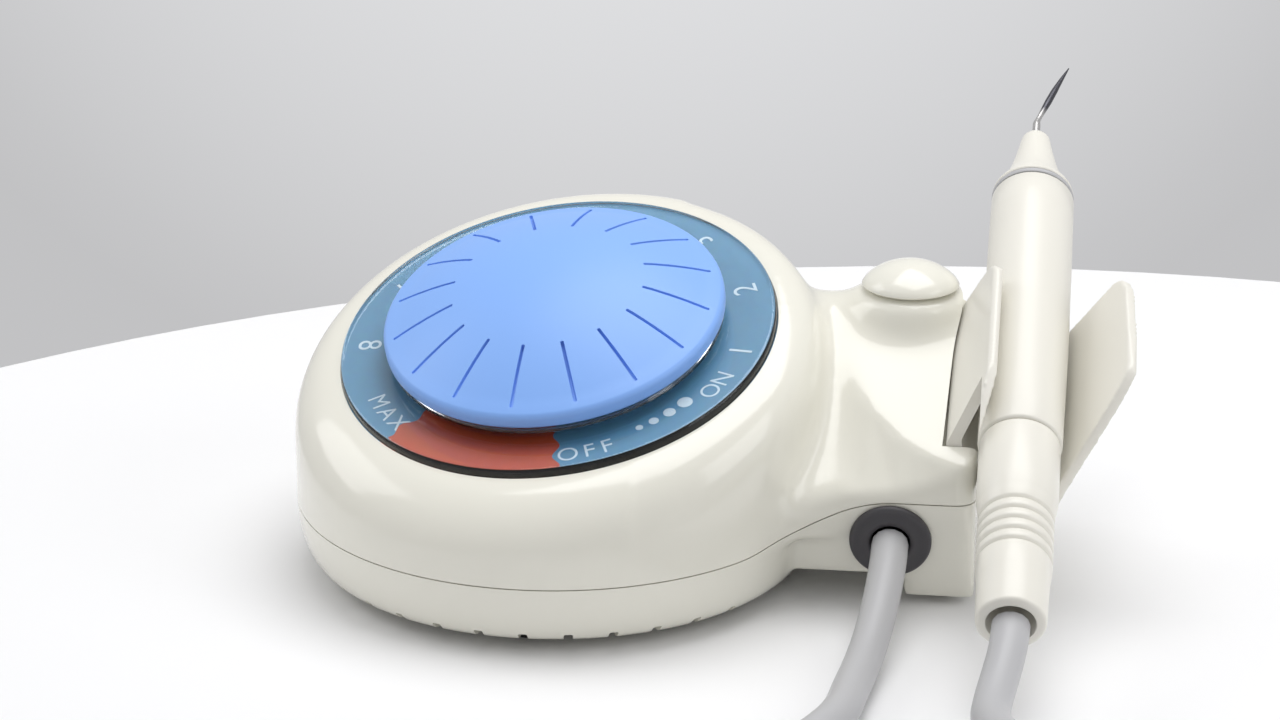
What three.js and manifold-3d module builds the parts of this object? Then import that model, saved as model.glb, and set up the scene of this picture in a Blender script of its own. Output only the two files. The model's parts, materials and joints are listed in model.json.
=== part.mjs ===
// Ultrasonic scaler: a round desktop unit with a big power knob, a side neck that carries
// the water knob and the handpiece cradle, and a handpiece on its hose.
// Millimetres, +Z up. X runs from the round body to the cradle, -Y is the user's side.
import * as THREE from 'three';
import { mergeVertices } from 'three/addons/utils/BufferGeometryUtils.js';
import Module from 'manifold-3d';

const wasm = await Module();
wasm.setup();

// ---------------------------------------------------------------- driving dimensions
const GAP = 0.3;                 // clearance between pieces that touch
const WALL = 2.5;                // wall of the two case shells

const BODY_R = 64.5;             // round body, at and above the shell seam
const BODY_FOOT_R = BODY_R - 6.5; // round body, at its bottom edge
const BODY_BOTTOM_Z = 3;
const BODY_SEAM_Z = 18;
const SHOULDER_H = 11;           // height of the rounding between wall and dial plane
const DIAL_Z = 57.4;             // dial centre above the floor
const DIAL_TILT = 19.4;          // degrees, dial plane to the floor
const DIAL_TURN = -18.9;         // degrees, the dial's low side from -Y

const PANEL_R = 53.6;            // printed label and its clear cover
const PANEL_RECESS = 1.8;
const LABEL_T = 0.8;
const COVER_T = 2.4;
const PANEL_HOLE_R = 10;

const KNOB_R = 41.8;
const KNOB_RIM_H = 8.7;          // top of the knob's rim above the dial plane
const KNOB_DOME = 10.7;          // rise of the dome from rim to centre
const KNOB_RIM_T = 3.8;
const KNOB_WALL = 3;             // thickness of the dome over its hollow underside
const KNOB_HUB_DROP = 2.2;       // how far the hub reaches below the rim
const KNOB_BORE_RISE = 3;        // top of the shaft bore above the rim's top
const KNOB_HUB_R = 7;
const SLOT_COUNT = 16;
const SLOT_W = 0.9;
const SLOT_DEPTH = 0.9;
const SLOT_START = 23;           // radii of the two ends of a slot
const SLOT_END = 40;
const SKIRT_T = 2;
const SKIRT_INNER_R = 34;
const SHAFT_R = 3;
const BUSH_R = 4.5;
const POT_R = 9;
const POT_DEPTH = 12;

const NECK_FRONT_Y = -26;
const NECK_BACK_Y = 40;
const NECK_END_X = BODY_R + 38.5;
const NECK_SEAM_Z = 28;
const NECK_CREASE_Z = 37.5;      // front wall to sloping top
const NECK_RIDGE_Y = 25;
const NECK_RIDGE_Z = 61.5;
const NECK_LEAN = 12;            // degrees, the front wall below the seam leans inward
const NECK_FILLET_R = 20;        // inner corner between neck and round body, in plan
const NECK_CORNER_R = 5;
const ARCH_Z = 8;                // raised underside between round body and end foot
const ARCH_X1 = NECK_END_X - 17;

const NOTCH_COUNT = 36;          // vent notches round the bottom edge, at full circle
const NOTCH_W = 2.2;
const NOTCH_H = 2.5;
const NOTCH_FREE = 35;           // degrees each side of +X without notches

const FOOT_R = 6;
const FOOT_T = 3.2;
const FEET = [[0, -BODY_R + 18.5], [-BODY_R + 22.5, 24], [BODY_R - 28.5, 38], [NECK_END_X - 9, 8]];

const GROMMET_X = NECK_END_X - 20;
const GROMMET_Z = 18;
const GROMMET_R = 9.8;
const GROMMET_NECK_R = 6.2;
const GROMMET_LIP = 1.8;
const HOSE_R = 4.4;

const SLEEVE_L = 91.3;
const SLEEVE_R = 10.5;
const SLEEVE_WALL = 1.8;
// handpiece axis: the point on it at the joint of connector and sleeve, and its slope
const AXIS_POINT = new THREE.Vector3(NECK_END_X + SLEEVE_R - 0.7, -23.2, 42.6);
const AXIS_RISE = 21.6;          // degrees above the floor, in the YZ plane
const CRADLE_ROLL = 27;          // degrees, the cradle opens up and towards +X
const CONNECTOR_L = 58;
const CONNECTOR_R = SLEEVE_R - 0.9;
const CONNECTOR_RIB_R = SLEEVE_R - 1.6;
const CONNECTOR_END_R = SLEEVE_R - 2.5;
const CONNECTOR_BORE_R = 5.4;
const RIB_START = 25.6;
const RIB_PITCH = 3.4;
const RIB_COUNT = 5;
const RIB_DEPTH = 0.6;
const RING_T = 1.3;
const NOSE_L = 24.1;
const NOSE_TIP_R = 3.4;
const HORN_TIP_R = 1.9;
const TIP_SHANK_R = 1;
const TIP_TURN = 153;            // degrees, the way the sickle bends, about the handpiece axis
const PIEZO_COUNT = 4;
const PIEZO_R = 6;
const PIEZO_T = 3;

const CRADLE_S0 = -8;            // ends of the cradle along the handpiece axis
const CRADLE_S1 = 50;
const CRADLE_SLOPE_S = 14;       // the rims are at full height past this
const CRADLE_INNER = SLEEVE_R + 1.1; // half width of the channel at its floor
const CRADLE_FLARE = 1.9;        // how much further out each rim stands
const CRADLE_RIM = SLEEVE_R + 5; // rim height above the handpiece axis, on the body's side
const OUTER_RIM_RISE = 3.5;      // how much higher and further out the rim on the far side stands
const OUTER_RIM_FLARE = 2;
const CRADLE_WALL = 2.6;
const CRADLE_FLOOR = SLEEVE_R + 0.9; // floor depth below the handpiece axis
const LIP_Y = -19.5;             // front lip of the neck, which the cradle stops behind
const WINDOW_S0 = 5;
const WINDOW_S1 = 25;

const WATER_X = NECK_END_X - 19;
const WATER_Y = NECK_RIDGE_Y + 1;
const WATER_BOSS_Z = NECK_RIDGE_Z + 3.3;
const WATER_BOSS_R = 12.4;
const WATER_KNOB_R = 12;
const WATER_KNOB_H = 6.3;
const STEM_R = 2.5;
const WATER_VALVE_Z = 50;        // top of the valve body under the neck's ridge

const SOCKET_Z = 17;
const POWER_X = NECK_END_X - 12;
const SWITCH_X = NECK_END_X - 25;
const INLET_X = NECK_END_X - 38;

const BOARD_Z = 13;
const BOARD_T = 1.6;
const BOARD_SIZE = [78, 60];
const BOARD_POSTS = [[-33, -24], [29, -24], [-33, 24], [29, 24]];

const SCREW_SPOTS = [[-20, -44], [-48, -4], [6, 50], [52, -8]];
const SCREW_POST_R = 4.4;
const SCREW_POST_Z = 9;          // bottom of the posts of the upper shell
const SCREW_R = 1.4;
const SCREW_HEAD_R = 2.9;
const SCREW_SINK = 1.4;          // depth of the counterbore for a screw head
const SCREW_TOP_Z = 18;

const COIL_X = GROMMET_X + 1;
const COIL_Y = -196;
const COIL_INNER_R = 34;
const COIL_OUTER_R = 70.5;
const COIL_H = 18;

// ---------------------------------------------------------------- colours
const CREAM = { color: 0xe8e6dc, roughness: 0.28, metalness: 0 };
const IVORY = { color: 0xf0ece2, roughness: 0.35, metalness: 0 };
const BLUE = { color: 0x86b4f0, roughness: 0.6, metalness: 0 };
const CLEAR = { color: 0xcfe2ea, roughness: 0.1, metalness: 0 };
const PRINT = { color: 0x5f91b4, roughness: 0.5, metalness: 0 };
const GREY = { color: 0xb8b8bc, roughness: 0.5, metalness: 0 };
const DARK = { color: 0x484649, roughness: 0.6, metalness: 0 };
const RUBBER = { color: 0x202022, roughness: 0.8, metalness: 0 };
const STEEL = { color: 0x9a9a9c, roughness: 0.3, metalness: 1 };
const BRASS = { color: 0xc8a860, roughness: 0.35, metalness: 1 };
const CERAMIC = { color: 0xd8cdb0, roughness: 0.7, metalness: 0 };
const BOARD = { color: 0x2f6b45, roughness: 0.6, metalness: 0 };
const ALUMINIUM = { color: 0xa8abae, roughness: 0.4, metalness: 1 };

// ---------------------------------------------------------------- helpers
const rad = THREE.MathUtils.degToRad;

function strip(geometry) {
  const bare = geometry.clone();
  bare.deleteAttribute('normal');
  bare.deleteAttribute('uv');
  return mergeVertices(bare, 1e-4);
}

function solid(geometry) {
  const merged = strip(geometry);
  const vertProperties = new Float32Array(merged.attributes.position.array);
  const triVerts = new Uint32Array(merged.index.array);
  return new wasm.Manifold(new wasm.Mesh({ numProp: 3, vertProperties, triVerts }));
}

function geometryOf(body) {
  const mesh = body.getMesh();
  const geometry = new THREE.BufferGeometry();
  geometry.setAttribute('position', new THREE.BufferAttribute(mesh.vertProperties, 3));
  geometry.setIndex(new THREE.BufferAttribute(mesh.triVerts, 1));
  return geometry;
}

function joined(...geometries) {
  return geometries.map(solid).reduce((sum, next) => sum.add(next));
}

function cut(body, ...tools) {
  return tools.map(solid).reduce((rest, tool) => rest.subtract(tool), body);
}

// A closed skin over rings of equal point count, with a fan to the middle of each end ring.
function skin(rings) {
  const count = rings[0].length;
  const positions = [];
  const index = [];
  const middle = (ring) => ring.reduce((sum, p) => sum.add(p), new THREE.Vector3()).divideScalar(count);
  for (const ring of rings) {
    for (const p of ring) positions.push(p.x, p.y, p.z);
  }
  for (let r = 0; r + 1 < rings.length; r += 1) {
    for (let i = 0; i < count; i += 1) {
      const a = r * count + i;
      const b = r * count + (i + 1) % count;
      index.push(a, b, b + count, a, b + count, a + count);
    }
  }
  const first = rings.length * count;
  const start = middle(rings[0]);
  const end = middle(rings[rings.length - 1]);
  positions.push(start.x, start.y, start.z, end.x, end.y, end.z);
  const lastRing = (rings.length - 1) * count;
  for (let i = 0; i < count; i += 1) {
    index.push(first, (i + 1) % count, i);
    index.push(first + 1, lastRing + i, lastRing + (i + 1) % count);
  }
  const geometry = new THREE.BufferGeometry();
  geometry.setAttribute('position', new THREE.BufferAttribute(new Float32Array(positions), 3));
  geometry.setIndex(index);
  return geometry;
}

// A turned solid about +Z from [radius, height] pairs that run outward from low to high.
function turned(points, segments = 16) {
  const profile = points.map(([r, z]) => new THREE.Vector2(r, z));
  const lathe = new THREE.LatheGeometry(profile, segments);
  lathe.rotateX(Math.PI / 2);
  return lathe;
}

// A turned ring whose section closes on itself.
function ring(innerR, outerR, z0, z1, segments = 16) {
  return turned([[innerR, z0], [outerR, z0], [outerR, z1], [innerR, z1], [innerR, z0]], segments);
}

function disc(radius, z0, z1, segments = 16) {
  return turned([[0, z0], [radius, z0], [radius, z1], [0, z1]], segments);
}

function block(x0, x1, y0, y1, z0, z1) {
  const box = new THREE.BoxGeometry(x1 - x0, y1 - y0, z1 - z0);
  box.translate((x0 + x1) / 2, (y0 + y1) / 2, (z0 + z1) / 2);
  return box;
}

// A flat outline pushed along +Z.
function slab(points, z0, z1, holes = []) {
  const shape = new THREE.Shape(points.map(([x, y]) => new THREE.Vector2(x, y)));
  for (const hole of holes) {
    shape.holes.push(new THREE.Path(hole.map(([x, y]) => new THREE.Vector2(x, y))));
  }
  const geometry = new THREE.ExtrudeGeometry(shape, { depth: z1 - z0, bevelEnabled: false });
  geometry.translate(0, 0, z0);
  return geometry;
}

// A YZ outline pushed along +X.
function alongX(points, x0, x1) {
  const geometry = slab(points, x0, x1);
  geometry.applyMatrix4(new THREE.Matrix4().makeBasis(
    new THREE.Vector3(0, 1, 0), new THREE.Vector3(0, 0, 1), new THREE.Vector3(1, 0, 0)));
  return geometry;
}

// An XZ outline pushed along Y.
function alongY(points, y0, y1) {
  const geometry = slab(points, -y1, -y0);
  geometry.rotateX(Math.PI / 2);
  return geometry;
}

function arcPoints(cx, cy, radius, from, to, steps) {
  const points = [];
  for (let i = 0; i <= steps; i += 1) {
    const a = rad(from + (to - from) * i / steps);
    points.push([cx + radius * Math.cos(a), cy + radius * Math.sin(a)]);
  }
  return points;
}

function tube(points, radius, sides, steps) {
  const curve = new THREE.CatmullRomCurve3(points.map((p) => new THREE.Vector3(...p)), false, 'centripetal');
  const section = new THREE.Shape(arcPoints(0, 0, radius, 0, 360 - 360 / sides, sides - 1)
    .map(([x, y]) => new THREE.Vector2(x, y)));
  return new THREE.ExtrudeGeometry(section, { steps, extrudePath: curve, bevelEnabled: false });
}

const unit = new THREE.Group();
const hose = new THREE.Group();

function place(name, geometry, look, parent = unit) {
  const material = new THREE.MeshStandardMaterial(look);
  const mesh = new THREE.Mesh(geometry, material);
  mesh.name = name;
  parent.add(mesh);
  return mesh;
}

// ---------------------------------------------------------------- the dial's own frame
const dialTilt = rad(DIAL_TILT);
const dialTurn = rad(DIAL_TURN);
const dialUp = new THREE.Vector3(
  Math.sin(dialTilt) * Math.sin(dialTurn), -Math.sin(dialTilt) * Math.cos(dialTurn), Math.cos(dialTilt));
const dialFront = new THREE.Vector3(Math.sin(dialTurn), -Math.cos(dialTurn), 0);
dialFront.addScaledVector(dialUp, -dialFront.dot(dialUp)).normalize();
const dialRight = new THREE.Vector3().crossVectors(dialUp, dialFront);
const dialMatrix = new THREE.Matrix4()
  .makeBasis(dialRight, dialFront.clone().negate(), dialUp)
  .setPosition(0, 0, DIAL_Z);
const dial = new THREE.Group();
dial.applyMatrix4(dialMatrix);
unit.add(dial);

function onDial(geometry) {
  return geometry.clone().applyMatrix4(dialMatrix);
}

// ---------------------------------------------------------------- the handpiece's own frame
// local Z runs along the handpiece to its tip, local Y is the way it lifts out of the cradle,
// and local X points back towards the round body
const rise = rad(AXIS_RISE);
const roll = rad(CRADLE_ROLL);
const alongAxis = new THREE.Vector3(0, Math.cos(rise), Math.sin(rise));
const liftWay = new THREE.Vector3(
  Math.sin(roll), -Math.sin(rise) * Math.cos(roll), Math.cos(rise) * Math.cos(roll));
const sideways = new THREE.Vector3().crossVectors(liftWay, alongAxis);
const axisMatrix = new THREE.Matrix4().makeBasis(sideways, liftWay, alongAxis).setPosition(AXIS_POINT);
const handset = new THREE.Group();
handset.applyMatrix4(axisMatrix);
unit.add(handset);

function onAxis(geometry) {
  return geometry.clone().applyMatrix4(axisMatrix);
}

// ---------------------------------------------------------------- case outline
const BODY_STEPS = 44;
const SHOULDER_STEPS = 4;
const FOOT_STEPS = 3;

// The round body, with its skin moved in by inset and the dial plane moved down by drop.
function roundBody(inset, drop) {
  const radius = BODY_R - inset;
  const footRadius = BODY_FOOT_R - inset;
  const bottom = BODY_BOTTOM_Z + inset;
  const planeZ = DIAL_Z - drop / Math.cos(dialTilt);
  const slope = Math.tan(dialTilt);
  const planeAt = (x, y) => planeZ - slope * (x * Math.sin(dialTurn) - y * Math.cos(dialTurn));
  const rings = [];
  const circle = (at) => Array.from({ length: BODY_STEPS }, (_, i) => at(2 * Math.PI * i / BODY_STEPS));
  for (let step = 0; step <= FOOT_STEPS; step += 1) {
    const t = step / FOOT_STEPS * Math.PI / 2;
    const r = footRadius + (radius - footRadius) * Math.sin(t);
    const z = BODY_SEAM_Z - (BODY_SEAM_Z - bottom) * Math.cos(t);
    rings.push(circle((a) => new THREE.Vector3(r * Math.cos(a), r * Math.sin(a), z)));
  }
  for (let step = 0; step <= SHOULDER_STEPS; step += 1) {
    const t = step / SHOULDER_STEPS * Math.PI / 2;
    rings.push(circle((a) => {
      const x = radius * Math.cos(a);
      const y = radius * Math.sin(a);
      const corner = new THREE.Vector3(x, y, planeAt(x, y));
      const turn = a - dialTurn;
      const edge = dialRight.clone().multiplyScalar((PANEL_R + 1 - inset) * Math.cos(turn));
      edge.addScaledVector(dialFront, -(PANEL_R + 1 - inset) * Math.sin(turn));
      edge.z += planeZ;
      const rim = corner.clone().addScaledVector(edge.sub(corner), 1 - Math.cos(t));
      rim.z -= (SHOULDER_H - inset) * (1 - Math.sin(t));
      return rim;
    }));
  }
  return skin(rings);
}

// The neck: its plan outline and its side profile, each pushed through the other.
function neck(inset) {
  const front = NECK_FRONT_Y + inset;
  const back = NECK_BACK_Y - inset;
  const end = NECK_END_X - inset;
  const corner = Math.max(NECK_CORNER_R - inset, 1);
  const filletR = NECK_FILLET_R + inset;
  const bodyR = BODY_R - inset;
  const frontX = Math.sqrt((bodyR + filletR) ** 2 - (front - filletR) ** 2);
  const backX = Math.sqrt((bodyR + filletR) ** 2 - (back + filletR) ** 2);
  const frontTouch = THREE.MathUtils.radToDeg(Math.atan2(filletR - front, -frontX));
  const backTouch = THREE.MathUtils.radToDeg(Math.atan2(-filletR - back, -backX));
  const plan = [
    [0, front - filletR / 2],
    ...arcPoints(frontX, front - filletR, filletR, frontTouch, 90, 6),
    ...arcPoints(end - corner, front + corner, corner, -90, 0, 4),
    ...arcPoints(end - corner, back - corner, corner, 0, 90, 4),
    ...arcPoints(backX, back + filletR, filletR, -90, backTouch, 6),
    [0, back + filletR / 2],
  ];
  const lean = Math.tan(rad(NECK_LEAN));
  const slope = (NECK_RIDGE_Z - NECK_CREASE_Z) / (NECK_RIDGE_Y - NECK_FRONT_Y);
  const far = 14;
  const bottom = BODY_BOTTOM_Z - 1 + inset;
  const profile = [
    [front - far, Math.max(NECK_CREASE_Z - inset - slope * far, NECK_SEAM_Z + 0.5)],
    [front - far, NECK_SEAM_Z],
    [front, NECK_SEAM_Z],
    [front + (NECK_SEAM_Z - bottom) * lean, bottom],
    [back + far, bottom],
    [back + far, NECK_RIDGE_Z - 9 - inset],
    [back - 1, NECK_RIDGE_Z - 5 - inset],
    [back - 6, NECK_RIDGE_Z - 0.8 - inset],
    [NECK_RIDGE_Y + 4, NECK_RIDGE_Z - inset],
    [NECK_RIDGE_Y - 3, NECK_RIDGE_Z - 1.2 - inset],
  ];
  const webHeight = NECK_SEAM_Z - 0.01;
  const web = block(0, frontX, front - far, front + 3, BODY_SEAM_Z, webHeight);
  const walls = solid(slab(plan, bottom, NECK_RIDGE_Z + 5));
  const top = solid(alongX(profile, 0, NECK_END_X + 10)).add(solid(web));
  const arch = block(-10, ARCH_X1 + inset, front - far, back + far, -5, ARCH_Z + inset);
  return cut(walls.intersect(top), arch);
}

// ---------------------------------------------------------------- cradle on the neck
const notchBottom = -(CRADLE_FLOOR + CRADLE_WALL + GAP);
const notchSide = CRADLE_INNER + CRADLE_FLARE + CRADLE_WALL + GAP;

// The pocket in the neck's end that the cradle sits in, with its walls moved in by inset.
function cradlePocket(inset) {
  const pocket = onAxis(block(-40, notchSide + inset, notchBottom - inset, 60, -70, 90));
  const behindLip = block(0, 160, LIP_Y - inset, 120, 0, 120);
  return solid(pocket).intersect(solid(behindLip));
}

// the seam between the shells rises from the round body to the neck
function belowSeam(shift) {
  const riseStart = 48;
  const riseEnd = 84;
  const points = [[-90, -20], [140, -20], [140, NECK_SEAM_Z + shift]];
  const steps = 8;
  for (let i = steps; i >= 0; i -= 1) {
    const t = i / steps;
    const blend = (1 - Math.cos(Math.PI * t)) / 2;
    const z = BODY_SEAM_Z + (NECK_SEAM_Z - BODY_SEAM_Z) * blend + shift;
    points.push([riseStart + (riseEnd - riseStart) * t, z]);
  }
  points.push([-90, BODY_SEAM_Z + shift]);
  return solid(alongY(points, -90, 90));
}

const waterBoss = disc(WATER_BOSS_R, 40, WATER_BOSS_Z, 32).translate(WATER_X, WATER_Y, 0);
const outer = solid(roundBody(0, 0)).add(neck(0)).add(solid(waterBoss)).subtract(cradlePocket(0));
const waterHollow = disc(WATER_BOSS_R - WALL, 30, WATER_BOSS_Z - WALL, 24).translate(WATER_X, WATER_Y, 0);
const hollow = solid(roundBody(WALL, PANEL_RECESS + WALL))
  .add(neck(WALL))
  .add(solid(waterHollow))
  .subtract(cradlePocket(WALL));
const caseWall = outer.subtract(hollow);

// ---------------------------------------------------------------- grommet frame
// local Z points out of the leaning front wall
const lean = rad(NECK_LEAN);
const grommetY = NECK_FRONT_Y + (NECK_SEAM_Z - GROMMET_Z) * Math.tan(lean);
const grommetOut = new THREE.Vector3(0, -Math.cos(lean), -Math.sin(lean));
const grommetUp = new THREE.Vector3(0, -Math.sin(lean), Math.cos(lean));
const grommetSide = new THREE.Vector3().crossVectors(grommetUp, grommetOut);
const grommetMatrix = new THREE.Matrix4()
  .makeBasis(grommetSide, grommetUp, grommetOut)
  .setPosition(GROMMET_X, grommetY, GROMMET_Z);
const grommetHole = disc(GROMMET_NECK_R + GAP, -8, 8, 20).applyMatrix4(grommetMatrix);

// rear connections, all on the neck's flat back wall: local Z points out of the wall
function onBack(x, z) {
  return new THREE.Matrix4()
    .makeBasis(new THREE.Vector3(-1, 0, 0), new THREE.Vector3(0, 0, 1), new THREE.Vector3(0, 1, 0))
    .setPosition(x, NECK_BACK_Y, z);
}
const POWER_HALF = [4.6, 4.6];
const SWITCH_R = 4.6;
const INLET_R = 3.2;
const powerHole = block(-POWER_HALF[0] - GAP, POWER_HALF[0] + GAP, -POWER_HALF[1] - GAP,
  POWER_HALF[1] + GAP, -6, 6).applyMatrix4(onBack(POWER_X, SOCKET_Z));
const switchHole = disc(SWITCH_R + GAP, -6, 6, 24).applyMatrix4(onBack(SWITCH_X, SOCKET_Z));
const inletHole = disc(INLET_R + GAP, -6, 6, 20).applyMatrix4(onBack(INLET_X, SOCKET_Z - 1));

// ---------------------------------------------------------------- lower shell
const notches = [];
for (let i = 0; i < NOTCH_COUNT; i += 1) {
  const angle = 360 * i / NOTCH_COUNT;
  const offFront = Math.min(angle, 360 - angle);
  if (offFront > NOTCH_FREE) {
    const notch = block(BODY_FOOT_R - 6, BODY_R + 3, -NOTCH_W / 2, NOTCH_W / 2, 0, BODY_BOTTOM_Z + NOTCH_H);
    notches.push(notch.rotateZ(rad(angle)));
  }
}
const screwHoles = SCREW_SPOTS.map(([x, y]) => disc(SCREW_R + GAP, -2, 24, 12).translate(x, y, 0));
const headHoles = SCREW_SPOTS.map(([x, y]) => disc(SCREW_HEAD_R + 0.4, -2, BODY_BOTTOM_Z + SCREW_SINK, 16).translate(x, y, 0));
const footSeats = FEET.map(([x, y]) => disc(FOOT_R + GAP, -2, BODY_BOTTOM_Z + 0.5, 20).translate(x, y, 0));
const boardPosts = BOARD_POSTS.map(([x, y]) => disc(3, BODY_BOTTOM_Z + 1, BOARD_Z - GAP, 12).translate(x, y, 0));
const lowerWall = boardPosts.map(solid)
  .reduce((sum, next) => sum.add(next), caseWall.intersect(belowSeam(-GAP / 2)));
place('lower_shell', geometryOf(cut(lowerWall, ...notches, ...screwHoles, ...headHoles, ...footSeats,
  grommetHole, powerHole, switchHole, inletHole)), CREAM);

// ---------------------------------------------------------------- upper shell
const postRods = SCREW_SPOTS.map(([x, y]) => disc(SCREW_POST_R, SCREW_POST_Z, 90, 16).translate(x, y, 0));
const posts = postRods.map(solid).reduce((sum, next) => sum.add(next)).intersect(outer);
const panelRecess = onDial(disc(PANEL_R + GAP, -PANEL_RECESS, 20, 44));
const bushHole = onDial(disc(BUSH_R + GAP, -12, 5, 24));
const stemHole = disc(STEM_R + GAP, 40, 80, 16).translate(WATER_X, WATER_Y, 0);
const cradleScrewSpots = [[6.2, 30], [6.2, 44]];
const cradleScrewHoles = cradleScrewSpots.map(([p, s]) => {
  const hole = disc(SCREW_R + GAP, -30, 0, 12);
  hole.rotateX(-Math.PI / 2);
  return onAxis(hole.translate(p, 0, s));
});
const upperWall = caseWall.subtract(belowSeam(GAP / 2));
const upperWithPosts = upperWall.add(cut(posts, ...screwHoles));
const upperShell = cut(upperWithPosts, panelRecess, bushHole, stemHole, ...cradleScrewHoles);
place('upper_shell', geometryOf(upperShell), CREAM);

// ---------------------------------------------------------------- dial: label, cover, knob
const labelTop = -PANEL_RECESS + GAP + LABEL_T;
place('panel_label', ring(PANEL_HOLE_R, PANEL_R, -PANEL_RECESS + GAP, labelTop, 44), PRINT, dial);
const coverBottom = labelTop + GAP;
const coverTop = coverBottom + COVER_T;
const coverChamfer = 0.9;
place('panel_cover', turned([
  [PANEL_HOLE_R, coverBottom], [PANEL_R, coverBottom], [PANEL_R, coverTop - coverChamfer],
  [PANEL_R - coverChamfer, coverTop], [PANEL_HOLE_R, coverTop], [PANEL_HOLE_R, coverBottom],
], 44), CLEAR, dial);

const rimBottom = KNOB_RIM_H - KNOB_RIM_T;
const rimRound = 1.6;
const boreTop = KNOB_RIM_H + KNOB_BORE_RISE;
const domeAt = (r) => KNOB_RIM_H + KNOB_DOME * (1 - (r / (KNOB_R - rimRound)) ** 2);
const knobProfile = [
  [0, boreTop], [SHAFT_R + GAP, boreTop], [SHAFT_R + GAP, rimBottom - KNOB_HUB_DROP],
  [KNOB_HUB_R, rimBottom - KNOB_HUB_DROP],
  ...[KNOB_HUB_R, 16, 24, SKIRT_INNER_R - 2].map((r) => [r, domeAt(r) - KNOB_WALL]),
  [SKIRT_INNER_R - 1, rimBottom], [KNOB_R - 1, rimBottom], [KNOB_R, rimBottom + 1],
  [KNOB_R, KNOB_RIM_H - rimRound],
  [KNOB_R - rimRound * 0.3, KNOB_RIM_H - rimRound * 0.3],
  [KNOB_R - rimRound, KNOB_RIM_H],
  ...[34, 26, 18, 9].map((r) => [r, domeAt(r)]),
  [0, domeAt(0)],
];
const slots = Array.from({ length: SLOT_COUNT }, (_, i) => {
  const slot = block(SLOT_START, SLOT_END, -SLOT_W / 2, SLOT_W / 2, 0, 6);
  slot.translate(0, 0, domeAt(SLOT_START) - SLOT_DEPTH);
  const dip = Math.atan2(domeAt(SLOT_START) - domeAt(SLOT_END), SLOT_END - SLOT_START);
  slot.translate(-SLOT_START, 0, -domeAt(SLOT_START));
  slot.rotateY(dip);
  slot.translate(SLOT_START, 0, domeAt(SLOT_START));
  return slot.rotateZ(rad(360 * (i + 0.5) / SLOT_COUNT));
});
place('knob_cap', geometryOf(cut(solid(turned(knobProfile, 40)), ...slots)), BLUE, dial);
place('knob_skirt', ring(SKIRT_INNER_R, KNOB_R - 0.6, rimBottom - GAP - SKIRT_T, rimBottom - GAP, 40),
  CLEAR, dial);

const potTop = -PANEL_RECESS - WALL - GAP;
const bushTop = 1.2;
const shaftBottom = potTop - POT_DEPTH / 2;
place('potentiometer_shaft', disc(SHAFT_R, shaftBottom + GAP, boreTop - GAP, 20), STEEL, dial);
place('potentiometer_body', turned([
  [0, potTop - POT_DEPTH], [POT_R, potTop - POT_DEPTH], [POT_R, potTop], [BUSH_R, potTop],
  [BUSH_R, bushTop], [SHAFT_R + GAP, bushTop], [SHAFT_R + GAP, shaftBottom], [0, shaftBottom],
], 24), ALUMINIUM, dial);
const nutShape = arcPoints(0, 0, 8, 0, 300, 5);
place('potentiometer_nut', slab(nutShape, -PANEL_RECESS + GAP, 0.8,
  [arcPoints(0, 0, BUSH_R + GAP, 0, 345, 23)]), STEEL, dial);

// ---------------------------------------------------------------- feet and case screws
FEET.forEach(([x, y], i) => {
  const seat = BODY_BOTTOM_Z + 0.5 - GAP;
  const top = Math.min(seat, FOOT_T);
  place(`rubber_foot_${i + 1}`, turned([
    [0, 0], [FOOT_R - 0.8, 0], [FOOT_R, 0.8], [FOOT_R, top], [0, top],
  ], 20).translate(x, y, 0), RUBBER);
});
SCREW_SPOTS.forEach(([x, y], i) => {
  const headTop = BODY_BOTTOM_Z + SCREW_SINK - GAP;
  place(`case_screw_${i + 1}`, turned([
    [0, headTop - 1.3], [SCREW_HEAD_R, headTop - 1.3], [SCREW_HEAD_R, headTop], [SCREW_R, headTop],
    [SCREW_R, SCREW_TOP_Z], [0, SCREW_TOP_Z],
  ], 12).translate(x, y, 0), STEEL);
});

// ---------------------------------------------------------------- circuit board and what it carries
const boardX = BOARD_SIZE[0] / 2;
const boardY = BOARD_SIZE[1] / 2;
place('main_board', slab([[-boardX, -boardY], [boardX - 4, -boardY], [boardX - 4, boardY], [-boardX, boardY]],
  BOARD_Z, BOARD_Z + BOARD_T), BOARD);
const onBoard = BOARD_Z + BOARD_T + GAP;
const finCount = 6;
const finPitch = 3;
const fins = [[0, 0]];
for (let i = 0; i < finCount; i += 1) {
  const x = i * finPitch;
  fins.push([x, 0], [x, 3], [x, 15], [x + 1.4, 15], [x + 1.4, 3]);
}
const finOutline = fins.slice(1).filter(([, y], i) => !(y === 0 && i > 0));
finOutline.push([finPitch * (finCount - 1) + 1.4, 0]);
const heatSink = slab(finOutline, 0, 24).rotateX(Math.PI / 2).translate(-34, 14, onBoard);
place('heat_sink', heatSink, ALUMINIUM);
place('output_transformer', ring(5, 11, onBoard, onBoard + 11, 20).translate(16, -12, 0), BRASS);
place('transformer_bobbin', disc(4.6, onBoard, onBoard + 13, 20).translate(16, -12, 0), DARK);
[[-8, 20], [3, 20]].forEach(([x, y], i) => {
  place(`capacitor_${i + 1}`, disc(4, onBoard, onBoard + 14, 18).translate(x, y, 0), DARK);
});
[[-12, -16], [-12, -4]].forEach(([x, y], i) => {
  place(`power_transistor_${i + 1}`, block(x, x + 4.6, y, y + 10, onBoard, onBoard + 15), DARK);
});

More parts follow.
